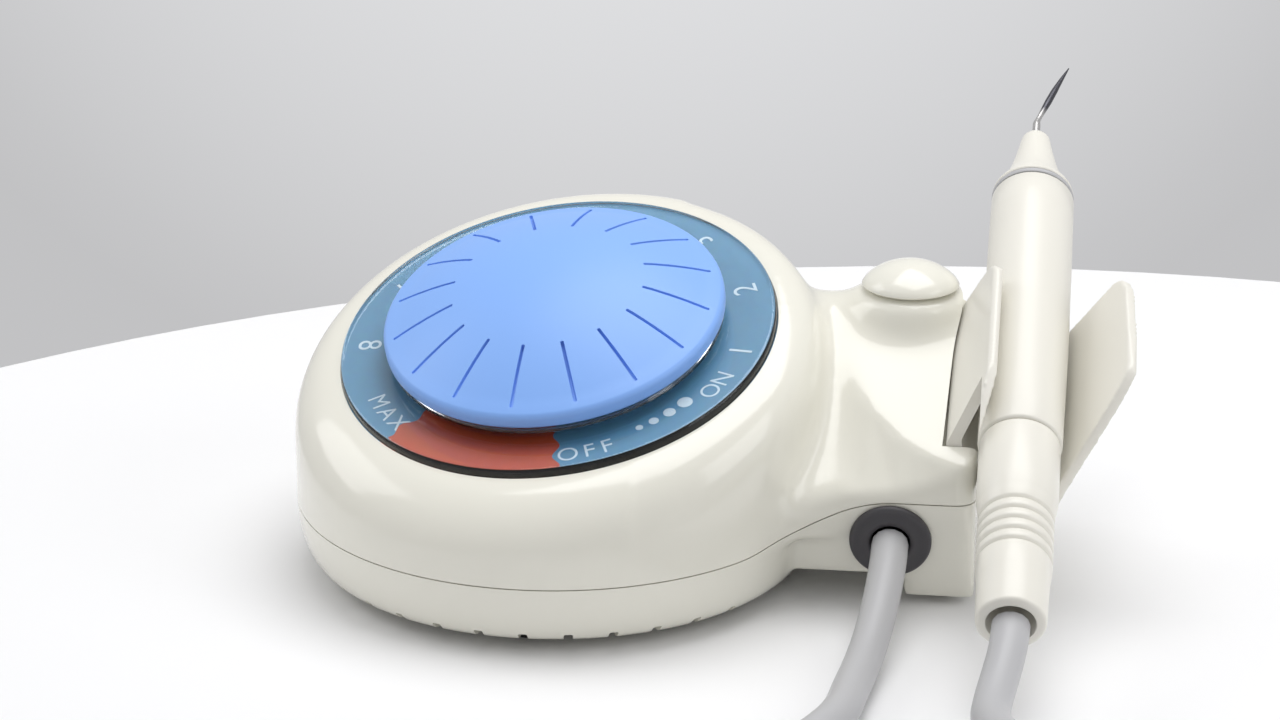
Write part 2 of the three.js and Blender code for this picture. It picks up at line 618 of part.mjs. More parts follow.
// ---------------------------------------------------------------- water path
const valveZ = 16;
const valveX = INLET_X - 14.5;
const valveY = 22;
const valveHalf = [9.5, 8];
place('solenoid_valve', block(valveX - valveHalf[0], valveX + valveHalf[0], valveY - valveHalf[1],
  valveY + valveHalf[1], valveZ - 5, valveZ + 7), DARK);
place('valve_coil', disc(6, valveZ + 7 + GAP, valveZ + 20, 20).translate(valveX, valveY, 0), BRASS);
const fitting = turned([
  [1.6, -9], [INLET_R, -9], [INLET_R, 0.5], [4.6, 0.5], [4.6, 3], [2.6, 3], [3, 5], [2.6, 7], [3, 9],
  [2.4, 12], [1.6, 12], [1.6, -9],
]).applyMatrix4(onBack(INLET_X, SOCKET_Z - 1));
place('water_inlet_fitting', fitting, STEEL);

const valveTop = WATER_VALVE_Z;
const knobSeat = WATER_BOSS_Z + GAP;
const stemLow = valveTop - 8;
place('water_valve_body', turned([
  [0, valveTop - 18], [7, valveTop - 18], [7, valveTop], [STEM_R + GAP, valveTop],
  [STEM_R + GAP, stemLow - GAP], [0, stemLow - GAP],
], 20).translate(WATER_X, WATER_Y, 0), BRASS);
const stemTop = knobSeat + WATER_KNOB_H * 0.5;
place('water_valve_stem', disc(STEM_R, stemLow, stemTop, 16).translate(WATER_X, WATER_Y, 0), STEEL);
const waterDome = [0, 20, 40, 60, 80, 90].map((a) => [
  (WATER_KNOB_R - 3.5) + 3.5 * Math.cos(rad(a)),
  knobSeat + WATER_KNOB_H - 4.8 + 3.6 * Math.sin(rad(a)),
]);
place('water_knob', turned([
  [0, stemTop + GAP], [STEM_R + GAP, stemTop + GAP], [STEM_R + GAP, knobSeat], [WATER_KNOB_R, knobSeat],
  ...waterDome, [WATER_KNOB_R * 0.35, knobSeat + WATER_KNOB_H - 0.3], [0, knobSeat + WATER_KNOB_H],
], 24).translate(WATER_X, WATER_Y, 0), CREAM);
place('valve_tube', tube([
  [INLET_X - 5 + GAP, valveY, valveZ + 1], [INLET_X + 1, valveY, valveZ + 2], [INLET_X + 7, 18, 20],
  [WATER_X - 8, 8, 26], [WATER_X - 4, 6, 34], [WATER_X - 1, 8, 41], [WATER_X, 12, 44], [WATER_X, WATER_Y - 7 - GAP, 44],
], 2, 8, 14), CLEAR);

// ---------------------------------------------------------------- rear sockets
const powerShell = joined(
  block(-POWER_HALF[0], POWER_HALF[0], -POWER_HALF[1], POWER_HALF[1], -10, GAP + 0.2),
  block(-POWER_HALF[0] - 1.4, POWER_HALF[0] + 1.4, -POWER_HALF[1] - 1.4, POWER_HALF[1] + 1.4, GAP, 1.8));
const powerCavity = block(-POWER_HALF[0] + 1.2, POWER_HALF[0] - 1.2, -POWER_HALF[1] + 1.2,
  POWER_HALF[1] - 1.2, -8, 4);
place('power_socket', geometryOf(cut(powerShell, powerCavity)).applyMatrix4(onBack(POWER_X, SOCKET_Z)), DARK);
place('foot_switch_socket', turned([
  [0, -10], [SWITCH_R, -10], [SWITCH_R, GAP], [SWITCH_R + 1.4, GAP], [SWITCH_R + 1.4, 1.8],
  [SWITCH_R - 1.2, 1.8], [SWITCH_R - 1.2, -8], [0, -8],
], 24).applyMatrix4(onBack(SWITCH_X, SOCKET_Z)), DARK);

// ---------------------------------------------------------------- hose grommet and clamp
const grommet = turned([
  [HOSE_R + GAP, -WALL - GAP - 1.6], [GROMMET_NECK_R + 0.9, -WALL - GAP - 1.6],
  [GROMMET_NECK_R + 0.9, -WALL - GAP], [GROMMET_NECK_R, -WALL - GAP], [GROMMET_NECK_R, GAP],
  [GROMMET_R, GAP], [GROMMET_R, GAP + 0.9], [GROMMET_R - 1.2, GROMMET_LIP],
  [HOSE_R + 1.4, GROMMET_LIP], [HOSE_R + GAP, GROMMET_LIP - 0.8], [HOSE_R + GAP, -WALL - GAP - 1.6],
], 24).applyMatrix4(grommetMatrix);
place('hose_grommet', grommet, DARK);
place('hose_clamp', ring(HOSE_R + GAP, HOSE_R + 2.2, -9.5, -5, 24).applyMatrix4(grommetMatrix), STEEL);

// ---------------------------------------------------------------- handpiece cradle
const rimX = CRADLE_INNER + CRADLE_FLARE;
const outerRimX = rimX + OUTER_RIM_FLARE;
const outerRim = CRADLE_RIM + OUTER_RIM_RISE;
const cradleSection = [
  [-CRADLE_INNER - 0.6, -CRADLE_FLOOR - CRADLE_WALL],
  [CRADLE_INNER + 0.6, -CRADLE_FLOOR - CRADLE_WALL],
  [CRADLE_INNER + CRADLE_WALL, -CRADLE_FLOOR + 0.6],
  [rimX + CRADLE_WALL, CRADLE_RIM - 1],
  [rimX + CRADLE_WALL - 1, CRADLE_RIM],
  [rimX + 1, CRADLE_RIM],
  [rimX, CRADLE_RIM - 1],
  [CRADLE_INNER, -CRADLE_FLOOR + 3.5],
  [CRADLE_INNER - 2.6, -CRADLE_FLOOR],
  [-CRADLE_INNER + 2.6, -CRADLE_FLOOR],
  [-CRADLE_INNER, -CRADLE_FLOOR + 3.5],
  [-outerRimX, outerRim - 1],
  [-outerRimX - 1, outerRim],
  [-outerRimX - CRADLE_WALL + 1, outerRim],
  [-outerRimX - CRADLE_WALL, outerRim - 1],
  [-CRADLE_INNER - CRADLE_WALL, -CRADLE_FLOOR + 0.6],
];
const channel = slab(cradleSection, CRADLE_S0, CRADLE_S1);
// what is taken off a wing, in the plane of axis (s) and lift (q): sloping front, rounded back
const slopeStart = -CRADLE_FLOOR + 2;
function wingCutters(rim, side) {
  const slopeEnd = rim + 4;
  const front = [[CRADLE_S0 - 10, slopeEnd], [CRADLE_S0 - 10, slopeStart]];
  for (let i = 0; i <= 6; i += 1) {
    const t = i / 6;
    const s = CRADLE_S0 + (CRADLE_SLOPE_S - CRADLE_S0) * t;
    front.push([s, slopeStart + (rim - slopeStart) * (t * t * (3 - 2 * t)) ** 0.8]);
  }
  front.push([CRADLE_SLOPE_S + 2, slopeEnd]);
  const back = [
    [CRADLE_S1 - 5, slopeEnd], ...arcPoints(CRADLE_S1 - 6, rim - 6, 6, 90, 0, 5), [CRADLE_S1 + 4, 0],
    [CRADLE_S1 + 4, slopeEnd],
  ];
  return [front, back].map((outline) => {
    const plate = slab(outline, Math.min(0, 40 * side), Math.max(0, 40 * side));
    plate.applyMatrix4(new THREE.Matrix4().makeBasis(
      new THREE.Vector3(0, 0, 1), new THREE.Vector3(0, 1, 0), new THREE.Vector3(-1, 0, 0)));
    return plate;
  });
}
const windowTool = block(-9.6, 5, -CRADLE_FLOOR - 6, -CRADLE_FLOOR + 4, WINDOW_S0, WINDOW_S1);
const shelfRibs = [38, 45].map((s) => block(-7.5, 3, -CRADLE_FLOOR - 0.5, -SLEEVE_R - GAP, s, s + 1.8));
const lipTool = solid(block(60, NECK_END_X + GAP, -90, LIP_Y + GAP, 0, 120));
const cradleInPlace = joined(channel, ...shelfRibs);
const trimmed = cut(cradleInPlace, ...wingCutters(CRADLE_RIM, -1), ...wingCutters(outerRim, 1), windowTool);
const cradleWorld = solid(onAxis(geometryOf(trimmed))).subtract(lipTool);
const cradle = cut(cradleWorld, ...cradleScrewHoles);
place('handpiece_cradle', geometryOf(cradle), IVORY);
cradleScrewSpots.forEach(([p, s], i) => {
  const headLow = -CRADLE_FLOOR + GAP;
  const screw = turned([
    [0, headLow - 10], [SCREW_R, headLow - 10], [SCREW_R, headLow], [2.6, headLow], [2.6, headLow + 0.9],
    [0, headLow + 0.9],
  ], 12);
  place(`cradle_screw_${i + 1}`, screw.rotateX(-Math.PI / 2).translate(p, 0, s), STEEL, handset);
});

// ---------------------------------------------------------------- connector, on the hose's end
const groove = (s) => [
  [CONNECTOR_RIB_R, s - 0.9], [CONNECTOR_RIB_R - RIB_DEPTH, s - 0.5],
  [CONNECTOR_RIB_R - RIB_DEPTH, s + 0.5], [CONNECTOR_RIB_R, s + 0.9],
];
const grooves = [];
for (let i = RIB_COUNT - 1; i >= 0; i -= 1) grooves.push(...groove(-RIB_START - i * RIB_PITCH));
const connectorEnd = -CONNECTOR_L;
const boreFloor = -22;
const coreR = 6;
place('connector_shell', turned([
  [CONNECTOR_BORE_R, connectorEnd], [CONNECTOR_END_R - 0.8, connectorEnd],
  [CONNECTOR_END_R, connectorEnd + 0.8], [CONNECTOR_END_R + 0.3, connectorEnd + 9], ...grooves,
  [CONNECTOR_RIB_R + 0.1, -RIB_START + 2.4], [CONNECTOR_R, -RIB_START + 6], [CONNECTOR_R, -0.5],
  [CONNECTOR_R - 0.3, -GAP / 2], [coreR + GAP, -GAP / 2], [coreR + GAP, boreFloor],
  [CONNECTOR_BORE_R, boreFloor], [CONNECTOR_BORE_R, connectorEnd],
], 20), IVORY, handset);
place('connector_core', turned([
  [0, boreFloor + GAP], [coreR, boreFloor + GAP], [coreR, 4], [coreR - 0.8, 4], [coreR - 0.8, 5.6],
  [coreR, 5.6], [coreR, 12], [coreR - 0.6, 12.6], [0, 12.6],
]), DARK, handset);
place('connector_seal', ring(coreR - 0.8 + GAP / 3, coreR + 0.6, 4 + 0.1, 5.5, 20), RUBBER, handset);
[-2.4, 2.4].forEach((x, i) => {
  place(`connector_pin_${i + 1}`, disc(0.7, 12.6 + GAP, 19, 10).translate(x, 0, 0), BRASS, handset);
});

// ---------------------------------------------------------------- handpiece
const sleeveInner = SLEEVE_R - SLEEVE_WALL;
place('handpiece_sleeve', turned([
  [sleeveInner, GAP / 2], [CONNECTOR_R + 0.1, GAP / 2], [CONNECTOR_R + 0.4, 0.6], [CONNECTOR_R + 0.55, 12],
  [SLEEVE_R, 34], [SLEEVE_R, 70], [SLEEVE_R - 0.1, SLEEVE_L], [sleeveInner, SLEEVE_L], [sleeveInner, GAP / 2],
], 24), IVORY, handset);
const ringLow = SLEEVE_L + GAP;
const noseLow = ringLow + RING_T + GAP;
const noseTop = noseLow + NOSE_L;
place('nose_ring', ring(sleeveInner, SLEEVE_R - 0.1, ringLow, ringLow + RING_T, 24), GREY, handset);
place('nose_cone', turned([
  [sleeveInner, noseLow], [SLEEVE_R - 0.2, noseLow], [SLEEVE_R - 1.7, noseLow + 3.3],
  [7, noseLow + 7.1], [5.7, noseLow + 12], [4.6, noseLow + 17.6], [NOSE_TIP_R + 0.3, noseTop - 2],
  [NOSE_TIP_R - 0.7, noseTop],
  [HORN_TIP_R + 0.5, noseTop], [HORN_TIP_R + 0.7, noseLow + 13], [4.6, noseLow + 8], [sleeveInner, noseLow],
], 24), IVORY, handset);

// the transducer: back mass, piezo rings on a bolt, and the horn that carries the tip
const backMassLow = 26;
const backMassTop = 38;
place('back_mass', ring(2.4, PIEZO_R, backMassLow, backMassTop), STEEL, handset);
const stackLow = backMassTop + GAP;
for (let i = 0; i < PIEZO_COUNT; i += 1) {
  const low = stackLow + i * (PIEZO_T + GAP);
  place(`piezo_ring_${i + 1}`, ring(2.4, PIEZO_R, low, low + PIEZO_T), CERAMIC, handset);
}
const stackTop = stackLow + PIEZO_COUNT * (PIEZO_T + GAP);
place('stack_bolt', disc(2, backMassLow - 2, stackTop + 1.6, 16), STEEL, handset);
place('transducer_horn', turned([
  [0, stackTop + 2], [2.4, stackTop + 2], [2.4, stackTop], [PIEZO_R, stackTop], [PIEZO_R, stackTop + 9],
  [4.2, stackTop + 10], [3.8, stackTop + 22], [4.6, stackTop + 22.4], [4.6, stackTop + 24],
  [3.6, stackTop + 24.4], [2.4, noseLow + 4], [HORN_TIP_R, noseLow + 12], [HORN_TIP_R, noseTop + 0.6],
  [0, noseTop + 0.6],
]), STEEL, handset);
place('horn_o_ring', ring(PIEZO_R + 0.1, sleeveInner - GAP, stackTop + 3, stackTop + 5, 20), RUBBER, handset);

// the scaler tip: a threaded shank, a taper, then a sickle that bends and thins to a point
const tipLow = noseTop + 0.6 + GAP;
const tipSpine = [[0, 0], [0, 5.6], [0.2, 7.2], [1.1, 10.2], [2.6, 15], [4.3, 20.5], [6, 25.6], [7.7, 30.3]];
const tipCurve = new THREE.CatmullRomCurve3(tipSpine.map(([q, s]) => new THREE.Vector3(q, 0, s)), false,
  'centripetal');
const tipRings = [];
const tipSteps = 14;
for (let i = 0; i <= tipSteps; i += 1) {
  const t = i / tipSteps;
  const at = tipCurve.getPointAt(t);
  const along = tipCurve.getTangentAt(t);
  const across = new THREE.Vector3(along.z, 0, -along.x);
  const side = new THREE.Vector3(0, 1, 0);
  const thin = t < 0.45 ? 1 : 1 - 0.82 * (t - 0.45) / 0.55;
  const radius = TIP_SHANK_R * thin;
  tipRings.push(Array.from({ length: 8 }, (_, k) => {
    const a = 2 * Math.PI * k / 8;
    return at.clone().addScaledVector(across, radius * Math.cos(a)).addScaledVector(side, radius * Math.sin(a));
  }));
}
place('scaler_tip', skin(tipRings).rotateZ(rad(TIP_TURN)).translate(0, 0, tipLow), STEEL, handset);

// ---------------------------------------------------------------- origin: middle of the footprint
unit.updateMatrixWorld(true);
const reach = new THREE.Box3().setFromObject(unit, true);
const middle = reach.getCenter(new THREE.Vector3());
const scaler = new THREE.Group();
scaler.add(unit, hose);

// ---------------------------------------------------------------- hose, at its full length
const grommetFace = new THREE.Vector3(0, 0, GROMMET_LIP + GAP).applyMatrix4(grommetMatrix);
const hoseDrop = HOSE_R + 0.2;
const fromGrommet = ([x, y, z]) => [GROMMET_X + x, y, z];
place('hose_base_run', tube([
  grommetFace.toArray(),
  ...[[0, -33, 16], [-0.6, -43, 12.4], [-1.8, -54, 8.4], [-3.4, -66, 5.6], [-5.4, -80, hoseDrop],
    [-7, -92, hoseDrop], [-11.4, -103.5, hoseDrop], [-16.7, -112.7, hoseDrop], [-23.4, -123.5, hoseDrop],
  ].map(fromGrommet),
], HOSE_R, 8, 10), GREY, hose);
place('hose_coil', ring(COIL_INNER_R, COIL_OUTER_R, 0.2, COIL_H, 40).translate(COIL_X, COIL_Y, 0), GREY, hose);
const handEnd = AXIS_POINT.clone().addScaledVector(alongAxis, -CONNECTOR_L - GAP);
const fromAxis = ([x, y, z]) => [AXIS_POINT.x + x, y, z];
place('hose_handpiece_run', tube([
  handEnd.toArray(),
  ...[[-0.6, -84, 18.4], [-2.4, -93, 14.8], [-4.2, -103, 11.2], [-3.6, -113, 7.8], [0.2, -122.4, 5.6],
    [3.1, -127.7, 5],
  ].map(fromAxis),
], HOSE_R, 8, 7), GREY, hose);

scaler.position.set(-middle.x, -middle.y, 0);

export default scaler;
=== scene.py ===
"""Looks of the ultrasonic scaler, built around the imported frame. Metres, the frame's own axes."""

import json
import logging
import math
from dataclasses import dataclass
from enum import Enum
from typing import Callable, Optional, Sequence

import bmesh
import bpy
import numpy as np
from mathutils import Matrix, Vector


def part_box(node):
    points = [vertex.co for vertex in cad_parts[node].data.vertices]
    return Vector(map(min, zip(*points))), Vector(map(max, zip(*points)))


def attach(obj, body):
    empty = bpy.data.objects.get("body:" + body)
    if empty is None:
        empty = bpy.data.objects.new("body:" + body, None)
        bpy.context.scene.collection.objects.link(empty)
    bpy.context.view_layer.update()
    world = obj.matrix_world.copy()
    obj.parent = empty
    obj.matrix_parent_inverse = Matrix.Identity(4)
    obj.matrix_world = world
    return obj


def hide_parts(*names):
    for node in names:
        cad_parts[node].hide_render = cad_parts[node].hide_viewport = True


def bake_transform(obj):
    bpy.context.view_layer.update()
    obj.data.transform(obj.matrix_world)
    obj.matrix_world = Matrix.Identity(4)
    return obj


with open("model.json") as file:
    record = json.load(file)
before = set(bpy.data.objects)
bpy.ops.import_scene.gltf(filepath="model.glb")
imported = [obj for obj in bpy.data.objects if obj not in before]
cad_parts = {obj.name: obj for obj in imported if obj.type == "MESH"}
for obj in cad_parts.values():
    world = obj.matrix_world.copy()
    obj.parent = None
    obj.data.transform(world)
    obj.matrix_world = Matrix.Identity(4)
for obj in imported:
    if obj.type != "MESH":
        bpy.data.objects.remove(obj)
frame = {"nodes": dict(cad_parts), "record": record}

log = logging.getLogger("scaler")
MM = 0.001
Point2 = tuple[float, float]
Point3 = tuple[float, float, float]
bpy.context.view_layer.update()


# ---------------------------------------------------------------- places
def middle_of(node: str) -> Vector:
    """Middle of a CAD node's box at rest."""
    low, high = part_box(node)
    return (low + high) / 2


FOOT_FROM_BODY = Vector((0.0, -46.0, 0.0)) * MM
BODY_MIDDLE = Vector((*middle_of("rubber_foot_1").xy, 0.0)) - FOOT_FROM_BODY


def at(x: float, y: float, z: float) -> Vector:
    """A point given in millimetres from the middle of the round body, on the floor."""
    return BODY_MIDDLE + Vector((x, y, z)) * MM


def basis(x_axis: Vector, y_axis: Vector, z_axis: Vector, origin: Vector) -> Matrix:
    """A placing matrix from three axes and an origin."""
    place = Matrix((x_axis, y_axis, z_axis)).transposed().to_4x4()
    place.translation = origin
    return place


DIAL_TILT = math.radians(19.4)
DIAL_TURN = math.radians(-18.9)
DIAL_UP = Vector((
    math.sin(DIAL_TILT) * math.sin(DIAL_TURN),
    -math.sin(DIAL_TILT) * math.cos(DIAL_TURN),
    math.cos(DIAL_TILT),
))
DIAL_RIGHT = Vector((math.cos(DIAL_TURN), math.sin(DIAL_TURN), 0.0))
DIAL_BACK = DIAL_UP.cross(DIAL_RIGHT)
DIAL_Z = 57.4
DIAL_MIDDLE = at(0, 0, DIAL_Z)
DIAL = basis(DIAL_RIGHT, DIAL_BACK, DIAL_UP, DIAL_MIDDLE)

AXIS_RISE = math.radians(21.6)
CRADLE_ROLL = math.radians(27)
ALONG = Vector((0.0, math.cos(AXIS_RISE), math.sin(AXIS_RISE)))
LIFT = Vector((
    math.sin(CRADLE_ROLL),
    -math.sin(AXIS_RISE) * math.cos(CRADLE_ROLL),
    math.cos(AXIS_RISE) * math.cos(CRADLE_ROLL),
))
HANDSET = basis(LIFT.cross(ALONG), LIFT, ALONG, at(112.8, -23.2, 42.6))

NECK_LEAN = math.radians(12)
NECK_FRONT_Y = -26.0
NECK_SEAM_Z = 28.0
GROMMET_Z = 18.0
GROMMET_OUT = Vector((0.0, -math.cos(NECK_LEAN), -math.sin(NECK_LEAN)))
GROMMET_UP = Vector((0.0, -math.sin(NECK_LEAN), math.cos(NECK_LEAN)))
GROMMET_Y = NECK_FRONT_Y + (NECK_SEAM_Z - GROMMET_Z) * math.tan(NECK_LEAN)
GROMMET = basis(GROMMET_UP.cross(GROMMET_OUT), GROMMET_UP, GROMMET_OUT, at(83, GROMMET_Y, GROMMET_Z))
UPRIGHT = Matrix.Translation(BODY_MIDDLE)


def on_back_wall(x: float, z: float) -> Matrix:
    """The place of a socket on the neck's back wall, with its own Z pointing out of the wall."""
    return basis(Vector((-1, 0, 0)), Vector((0, 0, 1)), Vector((0, 1, 0)), at(x, 40, z))


# ---------------------------------------------------------------- finishes
class Slot(Enum):
    """The material slots of the record."""

    CASE = "case_cream"
    HANDPIECE = "handpiece_ivory"
    KNOB = "knob_blue"
    COVER = "clear_cover"
    LABEL = "printed_label"
    HOSE = "hose_grey"
    GROMMET = "grommet_dark"
    RUBBER = "black_rubber"
    STEEL = "steel"
    BRASS = "brass"
    CERAMIC = "ceramic"
    BOARD = "board_green"
    ALUMINIUM = "aluminium"
    PLASTIC = "dark_plastic"


@dataclass(frozen=True)
class Finish:
    """A surface with slight colour drift, fine grain and uneven gloss.

    Args:
        slot: the record's slot.
        colour: linear base colour.
        roughness: lowest and highest roughness.
        grain: size of the fine texture, in repeats per metre, and its height in metres.
        drift: how far the colour wanders, as a share.
        metallic: share of metal.
        coat: weight of a clear coat.
        subsurface: weight of light passing under the skin.
        specular: specular level.
    """

    slot: Slot
    colour: Point3
    roughness: tuple[float, float]
    grain: tuple[float, float] = (900.0, 0.00002)
    drift: float = 0.03
    metallic: float = 0.0
    coat: float = 0.0
    subsurface: float = 0.0
    specular: float = 0.5

    def make(self) -> bpy.types.Material:
        """Builds the material's nodes, or returns them if they are there."""
        done = bpy.data.materials.get("finish_" + self.slot.value)
        if done is not None:
            return done
        material = bpy.data.materials.new("finish_" + self.slot.value)
        material.use_nodes = True
        nodes, links = material.node_tree.nodes, material.node_tree.links
        shader = nodes["Principled BSDF"]
        place = nodes.new("ShaderNodeTexCoord")
        cloud = nodes.new("ShaderNodeTexNoise")
        cloud.inputs["Scale"].default_value = 35.0
        cloud.inputs["Detail"].default_value = 3.0
        links.new(place.outputs["Object"], cloud.inputs["Vector"])
        tone = nodes.new("ShaderNodeMix")
        tone.data_type = "RGBA"
        dark = [c * (1 - self.drift) for c in self.colour]
        light = [min(1.0, c * (1 + self.drift)) for c in self.colour]
        tone.inputs["A"].default_value = (*dark, 1)
        tone.inputs["B"].default_value = (*light, 1)
        links.new(cloud.outputs["Fac"], tone.inputs["Factor"])
        links.new(tone.outputs["Result"], shader.inputs["Base Color"])
        grain = nodes.new("ShaderNodeTexNoise")
        grain.inputs["Scale"].default_value = self.grain[0]
        grain.inputs["Detail"].default_value = 2.0
        links.new(place.outputs["Object"], grain.inputs["Vector"])
        gloss = nodes.new("ShaderNodeMapRange")
        gloss.inputs["To Min"].default_value = self.roughness[0]
        gloss.inputs["To Max"].default_value = self.roughness[1]
        links.new(cloud.outputs["Fac"], gloss.inputs["Value"])
        links.new(gloss.outputs["Result"], shader.inputs["Roughness"])
        relief = nodes.new("ShaderNodeBump")
        relief.inputs["Strength"].default_value = 0.5
        relief.inputs["Distance"].default_value = self.grain[1]
        links.new(grain.outputs["Fac"], relief.inputs["Height"])
        links.new(relief.outputs["Normal"], shader.inputs["Normal"])
        shader.inputs["Metallic"].default_value = self.metallic
        shader.inputs["Coat Weight"].default_value = self.coat
        shader.inputs["Coat Roughness"].default_value = 0.04
        shader.inputs["Subsurface Weight"].default_value = self.subsurface
        shader.inputs["Subsurface Scale"].default_value = 0.002
        shader.inputs["Specular IOR Level"].default_value = self.specular
        return material


FINISHES: dict[Slot, Finish] = {f.slot: f for f in (
    Finish(Slot.CASE, (0.80, 0.785, 0.70), (0.13, 0.2), (1400, 0.000004), 0.012, coat=0.25),
    Finish(Slot.HANDPIECE, (0.79, 0.77, 0.70), (0.25, 0.34), (1800, 0.000006), 0.012),
    Finish(Slot.KNOB, (0.235, 0.44, 0.90), (0.36, 0.44), (2600, 0.00001), 0.02, specular=0.4),
    Finish(Slot.HOSE, (0.47, 0.47, 0.48), (0.36, 0.46), (1500, 0.00001), 0.03),
    Finish(Slot.GROMMET, (0.055, 0.052, 0.058), (0.42, 0.55), (1600, 0.00003), 0.08),
    Finish(Slot.RUBBER, (0.012, 0.012, 0.013), (0.7, 0.85), (1500, 0.00005), 0.1),
    Finish(Slot.STEEL, (0.52, 0.52, 0.53), (0.16, 0.3), (2200, 0.00001), 0.06, metallic=1.0),
    Finish(Slot.BRASS, (0.62, 0.43, 0.16), (0.22, 0.36), (1800, 0.00001), 0.07, metallic=1.0),
    Finish(Slot.CERAMIC, (0.68, 0.62, 0.48), (0.55, 0.7), (1500, 0.00003), 0.04),
    Finish(Slot.BOARD, (0.02, 0.13, 0.05), (0.35, 0.5), (700, 0.00004), 0.15, coat=0.3),
    Finish(Slot.ALUMINIUM, (0.62, 0.63, 0.64), (0.32, 0.45), (2500, 0.00002), 0.05, metallic=1.0),
    Finish(Slot.PLASTIC, (0.03, 0.03, 0.032), (0.38, 0.5), (1500, 0.00003), 0.08),
)}


def see_through(slot: Slot, tint: Point3) -> bpy.types.Material:
    """Clear moulded plastic that lets the lamps through to what lies under it.

    Args:
        slot: the record's slot.
        tint: linear colour of the plastic.
    """
    material = bpy.data.materials.get("finish_" + slot.value)
    if material is not None:
        return material
    material = bpy.data.materials.new("finish_" + slot.value)
    material.use_nodes = True
    nodes, links = material.node_tree.nodes, material.node_tree.links
    shader = nodes["Principled BSDF"]
    shader.inputs["Base Color"].default_value = (*tint, 1)
    shader.inputs["Transmission Weight"].default_value = 1.0
    shader.inputs["IOR"].default_value = 1.49
    place = nodes.new("ShaderNodeTexCoord")
    haze = nodes.new("ShaderNodeTexNoise")
    haze.inputs["Scale"].default_value = 60.0
    links.new(place.outputs["Object"], haze.inputs["Vector"])
    gloss = nodes.new("ShaderNodeMapRange")
    gloss.inputs["To Min"].default_value = 0.01
    gloss.inputs["To Max"].default_value = 0.035
    links.new(haze.outputs["Fac"], gloss.inputs["Value"])
    links.new(gloss.outputs["Result"], shader.inputs["Roughness"])
    path = nodes.new("ShaderNodeLightPath")
    clear = nodes.new("ShaderNodeBsdfTransparent")
    either = nodes.new("ShaderNodeMixShader")
    links.new(path.outputs["Is Shadow Ray"], either.inputs["Fac"])
    links.new(shader.outputs["BSDF"], either.inputs[1])
    links.new(clear.outputs["BSDF"], either.inputs[2])
    links.new(either.outputs["Shader"], nodes["Material Output"].inputs["Surface"])
    return material


@dataclass(frozen=True)
class DialPrint:
    """The printed label: steel blue, with an orange sector at the front whose sides are wavy."""

    blue: Point3 = (0.085, 0.235, 0.37)
    orange: Point3 = (0.47, 0.062, 0.009)
    sector: tuple[float, float] = (-117.0, -65.0)
    wave: float = 1.1
    wave_length: float = 0.0075

    def make(self) -> bpy.types.Material:
        """Builds the label's nodes: the angle round the dial picks the colour."""
        material = bpy.data.materials.new("finish_" + Slot.LABEL.value)
        material.use_nodes = True
        nodes, links = material.node_tree.nodes, material.node_tree.links
        shader = nodes["Principled BSDF"]

        def maths(how: str, first: object, second: object = 0.0) -> bpy.types.NodeSocket:
            """One Math node over sockets or numbers."""
            node = nodes.new("ShaderNodeMath")
            node.operation = how
            for socket, value in zip(node.inputs, (first, second)):
                if isinstance(value, (int, float)):
                    socket.default_value = value
                else:
                    links.new(value, socket)
            return node.outputs[0]

        place = nodes.new("ShaderNodeTexCoord")
        off = nodes.new("ShaderNodeVectorMath")
        off.operation = "SUBTRACT"
        off.inputs[1].default_value = DIAL_MIDDLE
        links.new(place.outputs["Object"], off.inputs[0])
        sides = []
        for way in (DIAL_RIGHT, DIAL_BACK):
            dot = nodes.new("ShaderNodeVectorMath")
            dot.operation = "DOT_PRODUCT"
            dot.inputs[1].default_value = way
            links.new(off.outputs["Vector"], dot.inputs[0])
            sides.append(dot.outputs["Value"])
        angle = maths("DEGREES", maths("ARCTAN2", sides[1], sides[0]))
        size = nodes.new("ShaderNodeVectorMath")
        size.operation = "LENGTH"
        links.new(off.outputs["Vector"], size.inputs[0])
        ripple = maths("SINE", maths("MULTIPLY", size.outputs["Value"], 2 * math.pi / self.wave_length))
        wobbly = maths("ADD", angle, maths("MULTIPLY", ripple, self.wave))
        inside = maths("MULTIPLY", maths("GREATER_THAN", wobbly, self.sector[0]),
                       maths("LESS_THAN", wobbly, self.sector[1]))
        ink = nodes.new("ShaderNodeMix")
        ink.data_type = "RGBA"
        ink.inputs["A"].default_value = (*self.blue, 1)
        ink.inputs["B"].default_value = (*self.orange, 1)
        links.new(inside, ink.inputs["Factor"])
        speck = nodes.new("ShaderNodeTexNoise")
        speck.inputs["Scale"].default_value = 500.0
        links.new(place.outputs["Object"], speck.inputs["Vector"])
        tone = nodes.new("ShaderNodeMix")
        tone.data_type = "RGBA"
        tone.blend_type = "SOFT_LIGHT"
        tone.inputs["Factor"].default_value = 0.15
        links.new(ink.outputs["Result"], tone.inputs["A"])
        links.new(speck.outputs["Color"], tone.inputs["B"])
        links.new(tone.outputs["Result"], shader.inputs["Base Color"])
        gloss = nodes.new("ShaderNodeMapRange")
        gloss.inputs["To Min"].default_value = 0.35
        gloss.inputs["To Max"].default_value = 0.5
        links.new(speck.outputs["Fac"], gloss.inputs["Value"])
        links.new(gloss.outputs["Result"], shader.inputs["Roughness"])
        return material


